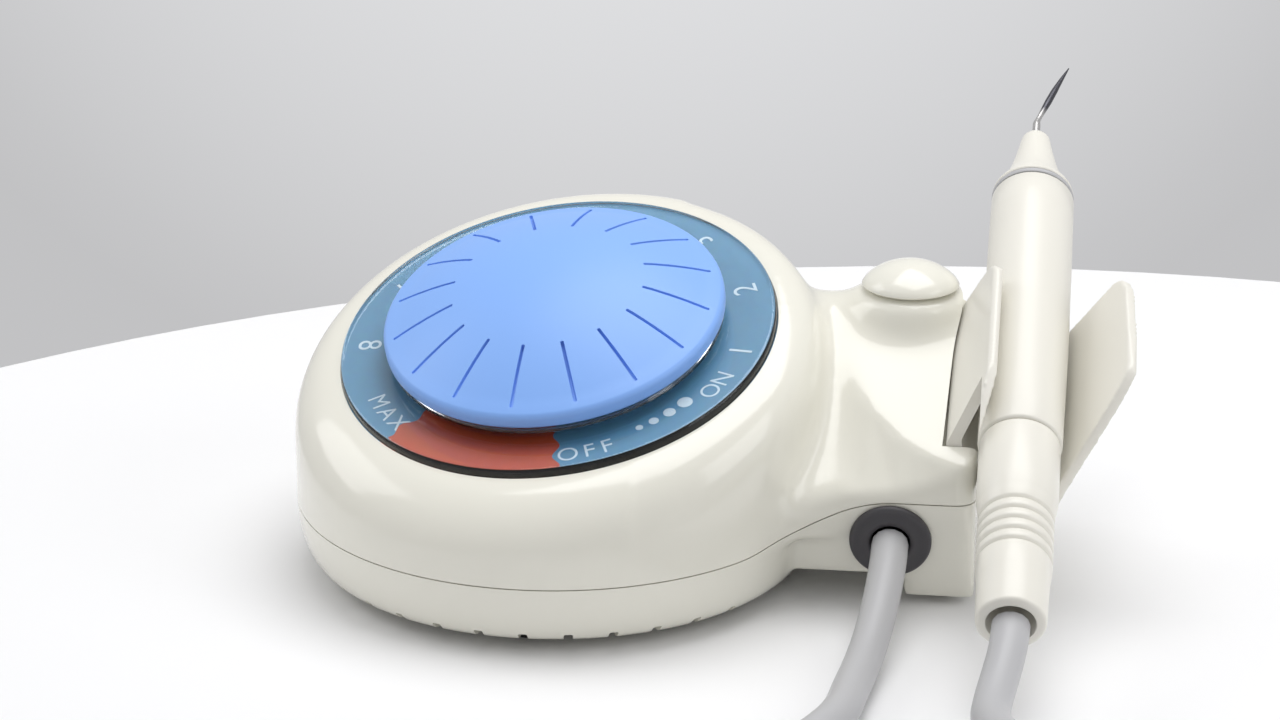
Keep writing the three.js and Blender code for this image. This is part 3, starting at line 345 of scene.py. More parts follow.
@dataclass(frozen=True)
class PlainInk:
    """One printed ink, slightly uneven."""

    name: str
    colour: Point3

    def make(self) -> bpy.types.Material:
        """Builds the ink's nodes."""
        done = bpy.data.materials.get(self.name)
        if done is not None:
            return done
        material = bpy.data.materials.new(self.name)
        material.use_nodes = True
        nodes, links = material.node_tree.nodes, material.node_tree.links
        shader = nodes["Principled BSDF"]
        place = nodes.new("ShaderNodeTexCoord")
        speck = nodes.new("ShaderNodeTexNoise")
        speck.inputs["Scale"].default_value = 700.0
        links.new(place.outputs["Object"], speck.inputs["Vector"])
        tone = nodes.new("ShaderNodeMix")
        tone.data_type = "RGBA"
        tone.inputs["A"].default_value = (*[c * 0.93 for c in self.colour], 1)
        tone.inputs["B"].default_value = (*self.colour, 1)
        links.new(speck.outputs["Fac"], tone.inputs["Factor"])
        links.new(tone.outputs["Result"], shader.inputs["Base Color"])
        shader.inputs["Roughness"].default_value = 0.45
        return material


@dataclass(frozen=True)
class TipSteel:
    """The scaler tip's steel: bright at the threaded shank, heat-darkened towards the point."""

    bright: Point3 = (0.62, 0.61, 0.60)
    dark: Point3 = (0.10, 0.10, 0.115)
    change: tuple[float, float] = (0.1275, 0.1305)

    def make(self) -> bpy.types.Material:
        """Builds the tip's nodes: the distance along the handpiece picks the tone."""
        material = bpy.data.materials.new("finish_tip_steel")
        material.use_nodes = True
        nodes, links = material.node_tree.nodes, material.node_tree.links
        shader = nodes["Principled BSDF"]
        place = nodes.new("ShaderNodeTexCoord")
        off = nodes.new("ShaderNodeVectorMath")
        off.operation = "SUBTRACT"
        off.inputs[1].default_value = HANDSET.translation
        links.new(place.outputs["Object"], off.inputs[0])
        dot = nodes.new("ShaderNodeVectorMath")
        dot.operation = "DOT_PRODUCT"
        dot.inputs[1].default_value = ALONG
        links.new(off.outputs["Vector"], dot.inputs[0])
        share = nodes.new("ShaderNodeMapRange")
        share.inputs["From Min"].default_value = self.change[0]
        share.inputs["From Max"].default_value = self.change[1]
        links.new(dot.outputs["Value"], share.inputs["Value"])
        tone = nodes.new("ShaderNodeMix")
        tone.data_type = "RGBA"
        tone.inputs["A"].default_value = (*self.bright, 1)
        tone.inputs["B"].default_value = (*self.dark, 1)
        links.new(share.outputs["Result"], tone.inputs["Factor"])
        links.new(tone.outputs["Result"], shader.inputs["Base Color"])
        brushed = nodes.new("ShaderNodeTexNoise")
        brushed.inputs["Scale"].default_value = 3000.0
        links.new(place.outputs["Object"], brushed.inputs["Vector"])
        gloss = nodes.new("ShaderNodeMapRange")
        gloss.inputs["To Min"].default_value = 0.22
        gloss.inputs["To Max"].default_value = 0.4
        links.new(brushed.outputs["Fac"], gloss.inputs["Value"])
        links.new(gloss.outputs["Result"], shader.inputs["Roughness"])
        shader.inputs["Metallic"].default_value = 1.0
        return material


# ---------------------------------------------------------------- the bench: modelling moves
class Cut(Enum):
    """How one body works on another."""

    AWAY = "DIFFERENCE"
    KEEP = "INTERSECT"
    ADD = "UNION"


def only(piece: bpy.types.Object) -> bpy.types.Object:
    """Selects one object alone and makes it active."""
    if bpy.context.mode != "OBJECT":
        bpy.ops.object.mode_set(mode="OBJECT")
    bpy.ops.object.select_all(action="DESELECT")
    piece.select_set(True)
    bpy.context.view_layer.objects.active = piece
    return piece


def settle(piece: bpy.types.Object, place: Optional[Matrix] = None) -> bpy.types.Object:
    """Puts a piece in place and leaves its object unturned at the origin."""
    if place is not None:
        piece.matrix_world = place @ piece.matrix_world
    bpy.context.view_layer.update()
    only(piece)
    bpy.ops.object.transform_apply(location=True, rotation=True, scale=True)
    return piece


def tidy_faces(piece: bpy.types.Object, near: float = 1e-7) -> None:
    """Merges doubled points and turns every face outwards."""
    only(piece)
    bpy.ops.object.mode_set(mode="EDIT")
    bpy.ops.mesh.select_all(action="SELECT")
    bpy.ops.mesh.remove_doubles(threshold=near)
    bpy.ops.mesh.normals_make_consistent(inside=False)
    bpy.ops.object.mode_set(mode="OBJECT")


def trace(name: str, points: Sequence[Point2], upright: bool) -> bpy.types.Object:
    """Draws an outline in millimetres by pushing one point along it, and stays in edit mode.

    Args:
        name: the new object's name.
        points: the outline's corners.
        upright: True to draw in the XZ plane, for turning; False for the XY plane.

    Returns:
        The object that holds the outline.
    """
    if bpy.context.mode != "OBJECT":
        bpy.ops.object.mode_set(mode="OBJECT")
    bpy.ops.object.select_all(action="DESELECT")
    bpy.ops.mesh.primitive_plane_add(size=MM)
    piece = bpy.context.object
    piece.name = name
    bpy.ops.object.mode_set(mode="EDIT")
    bpy.ops.mesh.select_all(action="SELECT")
    bpy.ops.mesh.merge(type="CENTER")

    def spot(point: Point2) -> Vector:
        """The outline's corner in space."""
        return Vector((point[0], 0, point[1]) if upright else (point[0], point[1], 0)) * MM

    bpy.ops.transform.translate(value=spot(points[0]))
    for before, after in zip(points, points[1:]):
        bpy.ops.mesh.extrude_region()
        bpy.ops.transform.translate(value=spot(after) - spot(before))
    return piece


def turned(name: str, outline: Sequence[Point2], place: Matrix, steps: int = 96) -> bpy.types.Object:
    """A piece turned about its own Z from an outline of radius and height in millimetres."""
    piece = trace(name, outline, upright=True)
    bpy.ops.mesh.select_all(action="SELECT")
    bpy.ops.mesh.spin(steps=steps, angle=2 * math.pi, center=(0, 0, 0), axis=(0, 0, 1))
    tidy_faces(piece, 1e-6)
    return settle(piece, place)


def pushed(name: str, outline: Sequence[Point2], low: float, high: float, place: Matrix) -> bpy.types.Object:
    """A flat outline pushed along its own Z from low to high, in millimetres."""
    piece = trace(name, [*outline, outline[0]], upright=False)
    bpy.ops.mesh.select_all(action="SELECT")
    bpy.ops.mesh.remove_doubles(threshold=1e-6)
    bpy.ops.mesh.select_all(action="SELECT")
    bpy.ops.mesh.edge_face_add()
    bpy.ops.transform.translate(value=(0, 0, low * MM))
    bpy.ops.mesh.extrude_region()
    bpy.ops.transform.translate(value=(0, 0, (high - low) * MM))
    tidy_faces(piece, 1e-7)
    return settle(piece, place)


def brick(name: str, low: Point3, high: Point3, place: Matrix) -> bpy.types.Object:
    """A block between two corners in millimetres, used to cut or add."""
    bpy.ops.object.select_all(action="DESELECT")
    size = [(b - a) * MM for a, b in zip(low, high)]
    centre = [(a + b) / 2 * MM for a, b in zip(low, high)]
    bpy.ops.mesh.primitive_cube_add(size=1, location=centre, scale=size)
    piece = bpy.context.object
    piece.name = name
    return settle(piece, place)


def carve(body: bpy.types.Object, tool: bpy.types.Object, how: Cut) -> bpy.types.Object:
    """Adds, cuts away or keeps the part of a body that a tool covers, and removes the tool."""
    change = body.modifiers.new(how.name.lower(), "BOOLEAN")
    change.operation = how.value
    change.solver = "MANIFOLD"
    change.object = tool
    only(body)
    bpy.ops.object.modifier_apply(modifier=change.name)
    bpy.data.objects.remove(tool)
    return body


def twin(piece: bpy.types.Object, name: str, place: Optional[Matrix] = None) -> bpy.types.Object:
    """A copy of a piece with its own mesh."""
    copy = piece.copy()
    copy.data = piece.data.copy()
    copy.name = name
    bpy.context.scene.collection.objects.link(copy)
    if place is not None:
        copy.data.transform(place)
    return copy


def gathered(name: str, pieces: Sequence[bpy.types.Object]) -> bpy.types.Object:
    """Several meshes joined into one."""
    only(pieces[0])
    for piece in pieces:
        piece.select_set(True)
    bpy.ops.object.join()
    bpy.context.object.name = name
    return bpy.context.object


def softened(piece: bpy.types.Object, voxel: float, passes: int) -> bpy.types.Object:
    """Rebuilds a body as an even skin of small faces and rounds its edges.

    Args:
        piece: the body.
        voxel: size of a face, in millimetres.
        passes: how often the skin is smoothed.
    """
    skin = piece.modifiers.new("skin", "REMESH")
    skin.mode = "VOXEL"
    skin.voxel_size = voxel * MM
    only(piece)
    bpy.ops.object.modifier_apply(modifier=skin.name)
    if passes:
        smooth = piece.modifiers.new("smooth", "SMOOTH")
        smooth.factor = 0.5
        smooth.iterations = passes
        bpy.ops.object.modifier_apply(modifier=smooth.name)
    return piece


def eased(piece: bpy.types.Object, width: float, segments: int = 3, limit: float = 30) -> bpy.types.Object:
    """Rounds a piece's sharp edges, width in millimetres."""
    bevel = piece.modifiers.new("ease", "BEVEL")
    bevel.width = width * MM
    bevel.segments = segments
    bevel.limit_method = "ANGLE"
    bevel.angle_limit = math.radians(limit)
    bevel.harden_normals = False
    only(piece)
    bpy.ops.object.modifier_apply(modifier=bevel.name)
    return piece


def shaded(piece: bpy.types.Object, angle: float = 35) -> bpy.types.Object:
    """Smooth shading, with edges sharper than an angle kept."""
    only(piece)
    bpy.ops.object.shade_smooth_by_angle(angle=math.radians(angle))
    return piece


def arc(cx: float, cz: float, radius: float, start: float, stop: float, steps: int) -> list[Point2]:
    """Points on an arc, angles in degrees."""
    angles = [math.radians(start + (stop - start) * i / steps) for i in range(steps + 1)]
    return [(cx + radius * math.cos(a), cz + radius * math.sin(a)) for a in angles]


def dress(
    piece: bpy.types.Object, body: str, slot: Slot, nodes: Sequence[str] = (),
    material: Optional[bpy.types.Material] = None,
) -> bpy.types.Object:
    """Gives a piece its finish, its body and the CAD nodes it stands for."""
    piece.data.materials.clear()
    piece.data.materials.append(material or FINISHES[slot].make())
    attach(piece, body)
    if nodes:
        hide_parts(*nodes)
    log.info("%s: %d faces on %s", piece.name, len(piece.data.polygons), body)
    return piece


# ---------------------------------------------------------------- studio
@dataclass
class Studio:
    """Camera, lamps, pale table and grey surroundings."""

    camera_spot: Point3 = (120.2, -816.2, 351.3)
    camera_turn: Point3 = (70.0, 0.0, 7.0)
    lens: float = 101.25
    table_middle: Point3 = (124.8, -186.1, 0.0)
    table_radius: float = 429.0
    lightest: Point3 = (-0.121, 0.985, -0.12)
    table_thick: float = 18.0

    def camera(self) -> None:
        """Sets the camera."""
        data = bpy.data.cameras.new("camera")
        data.lens = self.lens
        data.sensor_width = 36
        data.clip_start, data.clip_end = 0.01, 30
        camera = bpy.data.objects.new("camera", data)
        camera.location = at(*self.camera_spot)
        camera.rotation_euler = [math.radians(a) for a in self.camera_turn]
        bpy.context.scene.collection.objects.link(camera)
        bpy.context.scene.camera = camera

    def table(self) -> None:
        """A round white table top with a rounded edge."""
        r, t = self.table_radius, self.table_thick
        top = turned("table_top", [(0, -t), (r - 4, -t), (r, -t + 4), *arc(r - 5, -5, 5, 0, 90, 5), (0, 0)],
                     Matrix.Translation(at(*self.table_middle)), 128)
        shaded(top, 40)
        material = bpy.data.materials.new("table_white")
        material.use_nodes = True
        nodes, links = material.node_tree.nodes, material.node_tree.links
        shader = nodes["Principled BSDF"]
        place = nodes.new("ShaderNodeTexCoord")
        cloud = nodes.new("ShaderNodeTexNoise")
        cloud.inputs["Scale"].default_value = 4.0
        links.new(place.outputs["Object"], cloud.inputs["Vector"])
        tone = nodes.new("ShaderNodeMix")
        tone.data_type = "RGBA"
        tone.inputs["A"].default_value = (0.86, 0.86, 0.865, 1)
        tone.inputs["B"].default_value = (0.9, 0.9, 0.905, 1)
        links.new(cloud.outputs["Fac"], tone.inputs["Factor"])
        links.new(tone.outputs["Result"], shader.inputs["Base Color"])
        shader.inputs["Roughness"].default_value = 0.55
        shader.inputs["Specular IOR Level"].default_value = 0.3
        top.data.materials.clear()
        top.data.materials.append(material)

    def lamp(self, name: str, spot: Point3, aim: Point3, size: float, watts: float) -> None:
        """One square soft lamp, in metres."""
        data = bpy.data.lights.new(name, "AREA")
        data.shape = "SQUARE"
        data.size = size
        data.energy = watts
        lamp = bpy.data.objects.new(name, data)
        lamp.location = spot
        way = Vector(aim) - Vector(spot)
        lamp.rotation_euler = way.to_track_quat("-Z", "Y").to_euler()
        bpy.context.scene.collection.objects.link(lamp)

    def surroundings(self) -> None:
        """Pale grey all round, lightest behind the table's middle."""
        world = bpy.data.worlds.new("studio")
        world.use_nodes = True
        nodes, links = world.node_tree.nodes, world.node_tree.links
        place = nodes.new("ShaderNodeTexCoord")
        toward = nodes.new("ShaderNodeVectorMath")
        toward.operation = "DOT_PRODUCT"
        toward.inputs[1].default_value = self.lightest
        ramp = nodes.new("ShaderNodeValToRGB")
        ramp.color_ramp.elements[0].position = 0.97
        ramp.color_ramp.elements[0].color = (0.54, 0.54, 0.55, 1)
        ramp.color_ramp.elements[1].position = 1.0
        ramp.color_ramp.elements[1].color = (0.80, 0.805, 0.82, 1)
        links.new(place.outputs["Generated"], toward.inputs[0])
        links.new(toward.outputs["Value"], ramp.inputs["Fac"])
        links.new(ramp.outputs["Color"], nodes["Background"].inputs["Color"])
        nodes["Background"].inputs["Strength"].default_value = 1.0
        bpy.context.scene.world = world
        bpy.context.scene.view_settings.view_transform = "Standard"

    def build(self) -> None:
        """Makes the whole studio."""
        self.camera()
        self.table()
        self.surroundings()
        self.lamp("softbox_above", (0.1, 0.15, 0.9), (0.0, 0.0, 0.03), 0.7, 5.0)
        self.lamp("softbox_right", (0.9, -0.25, 0.55), (0.0, 0.0, 0.04), 0.6, 2.0)
        self.lamp("softbox_left", (-0.8, 0.1, 0.6), (0.0, 0.0, 0.04), 0.5, 1.6)


# ---------------------------------------------------------------- hose
@dataclass
class Hose:
    """The grey hose: from the grommet to a coil, and from the coil up to the handpiece."""

    radius: float = 4.4
    spacing: float = 8.8 + 0.35
    coil_middle: Point2 = (84.0, -196.0)
    coil_start: float = 150.0
    step: float = 1.5
    base_run: Sequence[Point3] = (
        (83, -33, 16), (82.4, -43, 12.4), (81.2, -54, 8.4), (79.6, -66, 5.6), (77.6, -80, 4.6),
        (76, -92, 4.6), (71.6, -103.5, 4.6), (66.3, -112.7, 4.6), (59.4, -123, 4.6), (50.3, -134.2, 4.6),
        (41, -144.6, 4.6), (33.3, -153.4, 4.6),
    )
    hand_start: Point2 = (118.6, -132.9)
    hand_middle: tuple[Point3, Point3] = ((109.6, -104, 13.4), (0.087, 1, 0.12))
    turns: Sequence[tuple[float, float]] = ((0, 66.5), (3, 39), (3.3, 39), (5.6667, 60.9))
    lead: int = 28
    same_bend: int = 30
    passes: int = 3

    def smooth_line(self, points: Sequence[Point3]) -> np.ndarray:
        """A smooth line through points, close enough to sample, in millimetres."""
        p = np.array(points, float)
        p = np.vstack([2 * p[0] - p[1], p, 2 * p[-1] - p[-2]])
        out = []
        for a, b, c, d in zip(p, p[1:], p[2:], p[3:]):
            t = np.linspace(0, 1, 13)[:-1, None]
            out.append(0.5 * (2 * b + (c - a) * t + (2 * a - 5 * b + 4 * c - d) * t**2
                              + (3 * b - a - 3 * c + d) * t**3))
        return np.vstack([*out, p[-2:-1]])

    def bend(self, start: Point3, leaving: Point3, stop: Point3, arriving: Point3) -> np.ndarray:
        """One smooth bend between two points with the directions at both given."""
        a, b, u, v = (np.array(p, float) for p in (start, stop, leaving, arriving))
        reach = np.linalg.norm(b - a)
        u, v = u / np.linalg.norm(u) * reach, v / np.linalg.norm(v) * reach
        t = np.linspace(0, 1, 33)[:, None]
        return ((2 * t**3 - 3 * t**2 + 1) * a + (t**3 - 2 * t**2 + t) * u
                + (3 * t**2 - 2 * t**3) * b + (t**3 - t**2) * v)

    def even(self, line: np.ndarray, step: float) -> np.ndarray:
        """The same line with points at even steps."""
        gone = np.r_[0, np.cumsum(np.linalg.norm(np.diff(line, axis=0), axis=1))]
        want = np.linspace(0, gone[-1], max(2, round(gone[-1] / step)) + 1)
        return np.column_stack([np.interp(want, gone, line[:, k]) for k in range(3)])

    def coil(self) -> np.ndarray:
        """The coil's flat line: in, over itself and out again."""
        u = np.arange(0, self.turns[-1][0], 0.004)
        r = np.interp(u, [t for t, _ in self.turns], [r for _, r in self.turns])
        width = 41
        r = np.convolve(np.pad(r, width // 2, mode="edge"), np.ones(width) / width, "valid")
        a = np.radians(self.coil_start) + 2 * np.pi * u
        return np.column_stack([self.coil_middle[0] + r * np.cos(a), self.coil_middle[1] + r * np.sin(a),
                                np.full_like(r, self.radius + 0.2)])

    def rested(self, line: np.ndarray, fall: np.ndarray, skip: int) -> np.ndarray:
        """Lifts each point so that it rests on what already lies under it.

        Args:
            line: the points in order, in millimetres.
            fall: their heights if nothing lay under them.
            skip: how many points before it belong to the same bend.
        """
        z = line[:, 2].copy()
        for i in range(skip, len(line)):
            near = line[: i - skip]
            if not len(near):
                continue
            gap = np.hypot(near[:, 0] - line[i, 0], near[:, 1] - line[i, 1])
            under = gap < self.spacing
            if under.any():
                z[i] = max(z[i], float(np.max(z[: i - skip][under]
                                              + np.sqrt(self.spacing**2 - gap[under] ** 2))))
        wide = self.lead
        lift = z - fall
        reach = np.array([lift[max(0, i - wide): i + wide + 1].max() for i in range(len(lift))])
        kernel = np.hanning(2 * wide + 3)[1:-1]
        lifted = np.convolve(np.pad(reach, wide, mode="edge"), kernel / kernel.sum(), "valid")
        out = line.copy()
        out[:, 2] = fall + np.maximum(lifted, 0)
        return out

    def tube(self, name: str, line: np.ndarray) -> bpy.types.Object:
        """A tube of the hose's diameter along a line in millimetres."""
        curve = bpy.data.curves.new(name, "CURVE")
        curve.dimensions = "3D"
        curve.bevel_depth = self.radius * MM
        curve.bevel_resolution = 5
        curve.use_fill_caps = True
        spline = curve.splines.new("POLY")
        spline.points.add(len(line) - 1)
        for spot, p in zip(spline.points, line):
            spot.co = (*at(*p), 1)
        piece = bpy.data.objects.new(name, curve)
        bpy.context.scene.collection.objects.link(piece)
        only(piece)
        bpy.ops.object.convert(target="MESH")
        piece = bpy.context.object
        tidy_faces(piece, 1e-7)
        return shaded(piece, 50)

    def build(self) -> None:
        exit_point = GROMMET @ Vector((0, 0, 2.1 * MM))
        start = tuple((exit_point - BODY_MIDDLE) / MM)
        base = self.smooth_line([start, *self.base_run])
        out_to = (*self.hand_start, self.radius + 0.2)
        whole = self.even(np.vstack([base, self.coil(), [out_to]]), self.step)
        whole[:, 2] = np.maximum(whole[:, 2], self.radius + 0.2)
        fall = whole[:, 2].copy()
        for _ in range(self.passes):
            whole = self.rested(whole, fall, self.same_bend)
        first = self.even(whole, 2.4)
        hand_end = HANDSET @ Vector((0, 0, -58.3 * MM))
        end = tuple((hand_end - BODY_MIDDLE) / MM)
        leaving = first[-1] - first[-3]
        middle, heading = self.hand_middle
        second = self.even(np.vstack([
            self.bend(first[-1], leaving, middle, heading), self.bend(middle, heading, end, tuple(ALONG)),
        ]), 2.0)

        def length(line: np.ndarray) -> float:
            """Length of a line in metres."""
            return float(np.linalg.norm(np.diff(line, axis=0), axis=1).sum()) * MM

        long_hose = self.tube("hose_base_length", first)
        dress(long_hose, "base", Slot.HOSE, ["hose_base_run", "hose_coil"])
        short_hose = self.tube("hose_handpiece_length", second)
        short_hose.data.materials.clear()
        short_hose.data.materials.append(FINISHES[Slot.HOSE].make())
        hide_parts("hose_handpiece_run")
        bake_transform(short_hose)
        log.info("hose lengths %.3f and %.3f m", length(first), length(second))


# ---------------------------------------------------------------- case
@dataclass
class Case:
    """Lower and upper shell: a round body with a tilted dial seat, blended into a side neck."""

    wall: float = 2.5
    body_r: float = 64.5
    foot_r: float = 58.0
    bottom_z: float = 3.0
    seam_z: float = 18.0
    shoulder: float = 11.0
    seat_r: float = 54.6
    panel_r: float = 53.6
    recess: float = 1.8
    neck_back: float = 40.0
    neck_end: float = 103.0
    crease_z: float = 37.5
    ridge_y: float = 25.0
    ridge_z: float = 61.5
    fillet: float = 20.0
    corner: float = 5.0
    arch_z: float = 8.0
    arch_x: float = 86.0
    lip_y: float = -19.5
    boss_r: float = 14.5
    boss_z: float = 64.8
    water_spot: Point2 = (84.0, 26.0)
    voxel: float = 1.15
    passes: int = 7
    seam_gap: float = 0.3
    notch_count: int = 36
    notch_free: float = 35.0
    crease: Sequence[tuple[float, float, float, float]] = (
        (112, 37.2, -26.4, 37.4), (103.5, 36.8, -26.3, 37.4), (99, 34.8, -25.3, 37.8),
        (94.2, 32.8, -23.5, 38.7), (89.3, 31.4, -20.8, 39.9), (84.4, 30.4, -17.2, 41.6),
        (76.6, 29.6, -8, 45.9), (71.1, 29.2, 0.8, 50.1),
        (66.6, 29, 11.5, 55.1), (61.9, 29, 22, 60), (40, 29, 22, 60),
    )

    def plane_z(self, x: float, y: float, drop: float) -> float:
        """Height of the dial plane over a point, moved down by drop along its own normal."""
        slope = math.tan(DIAL_TILT)
        side = x * math.sin(DIAL_TURN) - y * math.cos(DIAL_TURN)
        return DIAL_Z - drop / math.cos(DIAL_TILT) - slope * side

    def ring_makers(self, inset: float, drop: float) -> list[Callable[[float], Vector]]:
        """One function of the angle for each ring of the round body, from the bottom up."""
        radius, foot, bottom = self.body_r - inset, self.foot_r - inset, self.bottom_z + inset
        seat = self.seat_r - inset
        makers: list[Callable[[float], Vector]] = []
        foot_steps, shoulder_steps = 8, 12

        def low_ring(t: float) -> Callable[[float], Vector]:
            """A ring of the rounded lower edge."""
            r = foot + (radius - foot) * math.sin(t)
            z = self.seam_z - (self.seam_z - bottom) * math.cos(t)
            return lambda a: Vector((r * math.cos(a), r * math.sin(a), z))

        def high_ring(t: float) -> Callable[[float], Vector]:
            """A ring of the rounded shoulder under the dial."""
            def make(a: float) -> Vector:
                """The ring's point at one angle."""
                x, y = radius * math.cos(a), radius * math.sin(a)
                corner = Vector((x, y, self.plane_z(x, y, drop)))
                turn = a - DIAL_TURN
                edge = (DIAL_RIGHT * math.cos(turn) + DIAL_BACK * math.sin(turn)) * seat
                edge.z += DIAL_Z - drop / math.cos(DIAL_TILT)
                rim = corner.lerp(edge, 1 - math.cos(t))
                rim.z -= (self.shoulder - inset) * (1 - math.sin(t))
                return rim
            return make

        for i in range(foot_steps + 1):
            makers.append(low_ring(i / foot_steps * math.pi / 2))
        for i in range(shoulder_steps + 1):
            makers.append(high_ring(i / shoulder_steps * math.pi / 2))
        return makers

    def round_body(self, name: str, inset: float, drop: float, steps: int) -> bpy.types.Object:
        """The round body, raised ring by ring from a disc."""
        makers = self.ring_makers(inset, drop)
        bpy.ops.object.select_all(action="DESELECT")
        bpy.ops.mesh.primitive_circle_add(vertices=steps, radius=self.foot_r * MM, fill_type="NGON")
        piece = bpy.context.object
        piece.name = name
        bpy.ops.object.mode_set(mode="EDIT")
        bpy.ops.mesh.select_all(action="SELECT")
        for step, maker in enumerate(makers):
            if step:
                bpy.ops.mesh.extrude_region()
            mesh = bmesh.from_edit_mesh(piece.data)
            for vertex in mesh.verts:
                if vertex.select:
                    if step:
                        angle = vertex_angle(vertex, makers[step - 1])
                    else:
                        angle = math.atan2(vertex.co.y, vertex.co.x)
                    vertex.co = maker(angle) * MM
            bmesh.update_edit_mesh(piece.data)
        tidy_faces(piece)
        return settle(piece, UPRIGHT)

    def neck(self, name: str, inset: float) -> bpy.types.Object:
        """The neck: its plan outline and its side profile, each pushed through the other."""
        front, back, end = NECK_FRONT_Y + inset, self.neck_back - inset, self.neck_end - inset
        corner, fillet = max(self.corner - inset, 1), self.fillet + inset
        body = self.body_r - inset
        front_x = math.sqrt((body + fillet) ** 2 - (front - fillet) ** 2)
        back_x = math.sqrt((body + fillet) ** 2 - (back + fillet) ** 2)
        front_touch = math.degrees(math.atan2(fillet - front, -front_x))
        back_touch = math.degrees(math.atan2(-fillet - back, -back_x))
        plan = [
            (0, front - fillet / 2),
            *arc(front_x, front - fillet, fillet, front_touch, 90, 14),
            *arc(end - corner, front + corner, corner, -90, 0, 6),
            *arc(end - corner, back - corner, corner, 0, 90, 6),
            *arc(back_x, back + fillet, fillet, -90, back_touch, 14),
            (0, back + fillet / 2),
        ]
        lean = math.tan(NECK_LEAN)
        slope = (self.ridge_z - self.crease_z) / (self.ridge_y - NECK_FRONT_Y)
        far, bottom = 12, self.bottom_z - 1 + inset
        profile = [
            (front - far, self.crease_z - inset - slope * far),
            (front - far, NECK_SEAM_Z), (front, NECK_SEAM_Z),
            (front + (NECK_SEAM_Z - bottom) * lean, bottom),
            (back + far, bottom), (back + far, self.ridge_z - 9 - inset),
            (back - 1, self.ridge_z - 5 - inset), (back - 6, self.ridge_z - 0.8 - inset),
            (self.ridge_y + 4, self.ridge_z - inset), (self.ridge_y - 3, self.ridge_z - 1.2 - inset),
        ]
        along_x = basis(Vector((0, 1, 0)), Vector((0, 0, 1)), Vector((1, 0, 0)), BODY_MIDDLE)
        walls = pushed(name, plan, bottom, self.ridge_z + 5, UPRIGHT)
        top = pushed("neck_profile", profile, 0.5, self.neck_end + 10, along_x)
        web = brick("neck_web", (0.5, front - far - 1, self.seam_z),
                    (front_x, front + 3, NECK_SEAM_Z + 0.2), UPRIGHT)
        carve(top, web, Cut.ADD)
        carve(walls, top, Cut.KEEP)
        carve(walls, self.sweep(inset), Cut.AWAY)
        arch = brick("neck_arch", (-10, front - 20, -5),
                     (self.arch_x + inset, back + 20, self.arch_z + inset), UPRIGHT)
        return carve(walls, arch, Cut.AWAY)

    def sweep(self, inset: float) -> bpy.types.Object:
        """What lies in front of the hollow that runs from the neck's front up to the dial's rim."""
        front, high, corners, ahead = -70, 110, 5, 0.5
        bpy.ops.object.select_all(action="DESELECT")
        bpy.ops.mesh.primitive_circle_add(vertices=corners, radius=MM, fill_type="NGON")
        piece = bpy.context.object
        piece.name = "neck_sweep"
        bpy.ops.object.mode_set(mode="EDIT")
        bpy.ops.mesh.select_all(action="SELECT")
        for step, (x, low_z, y, z) in enumerate(self.crease):
            if step:
                bpy.ops.mesh.extrude_region()
            mesh = bmesh.from_edit_mesh(piece.data)
            start_y, start_z = NECK_FRONT_Y - ahead + inset, low_z - inset
            outline = [(start_y, start_z), (y + inset, z - inset), (y + inset, high), (front, high),
                       (front, start_z - ahead)]
            ring = walk_round([v for v in mesh.verts if v.select])
            for vertex, (side, rise) in zip(ring, outline):
                vertex.co = Vector((x, side, rise)) * MM
            bmesh.update_edit_mesh(piece.data)
        tidy_faces(piece)
        return settle(piece, UPRIGHT)

    def pocket(self, inset: float) -> bpy.types.Object:
        """The pocket in the neck's end that the cradle sits in."""
        bottom, side = -(11.4 + 2.6 + 0.3), 11.6 + 0.4 + 2.6 + 0.3
        box = brick("cradle_pocket", (-40, bottom - inset, -70), (side + inset, 60, 90), HANDSET)
        back = brick("behind_lip", (0, self.lip_y - inset, 0), (160, 120, 120), UPRIGHT)
        return carve(box, back, Cut.KEEP)

    def round_off(self, shell: bpy.types.Object) -> None:
        """Rolls the inner corner between body and neck, and the hump's foot, into hollow sweeps."""
        group = shell.vertex_groups.new(name="corner")
        reach, hump_ring, hump_width = 13.0, 17.0, 7.0
        for vertex in shell.data.vertices:
            p = (vertex.co - BODY_MIDDLE) / MM
            if p.x < 25 or p.z < 16:
                continue
            off = abs(math.hypot(p.x, p.y) - self.body_r)
            weight = max(0.0, 1 - off / reach)
            low = min(1.0, max(0.0, (p.z - 16) / 10))
            hump = math.hypot(p.x - self.water_spot[0], p.y - self.water_spot[1])
            if p.z > 50:
                weight = max(weight, min(1.0, 1.3 - abs(hump - hump_ring) / hump_width))
            if weight > 0:
                group.add([vertex.index], weight * low, "REPLACE")
        blend = shell.modifiers.new("sweep", "SMOOTH")
        blend.factor = 0.5
        blend.iterations = 110
        blend.vertex_group = group.name
        only(shell)
        bpy.ops.object.modifier_apply(modifier=blend.name)
        shell.vertex_groups.clear()

    def below_seam(self, shift: float) -> bpy.types.Object:
        """Everything under the seam, which climbs from the round body to the neck."""
        points: list[Point2] = [(-90, -20), (140, -20), (140, NECK_SEAM_Z + shift)]
        steps, start, stop = 24, 48, 84
        for i in range(steps, -1, -1):
            t = i / steps
            lift = (1 - math.cos(math.pi * t)) / 2
            height = self.seam_z + (NECK_SEAM_Z - self.seam_z) * lift + shift
            points.append((start + (stop - start) * t, height))
        points.append((-90, self.seam_z + shift))
        along_y = basis(Vector((1, 0, 0)), Vector((0, 0, 1)), Vector((0, -1, 0)), BODY_MIDDLE)
        return pushed("below_seam", points, -90, 90, along_y)

    def disc(
        self, radius: float, low: float, high: float, place: Matrix, steps: int = 48,
    ) -> bpy.types.Object:
        """A round cutter."""
        return turned("disc", [(0, low), (radius, low), (radius, high), (0, high)], place, steps)

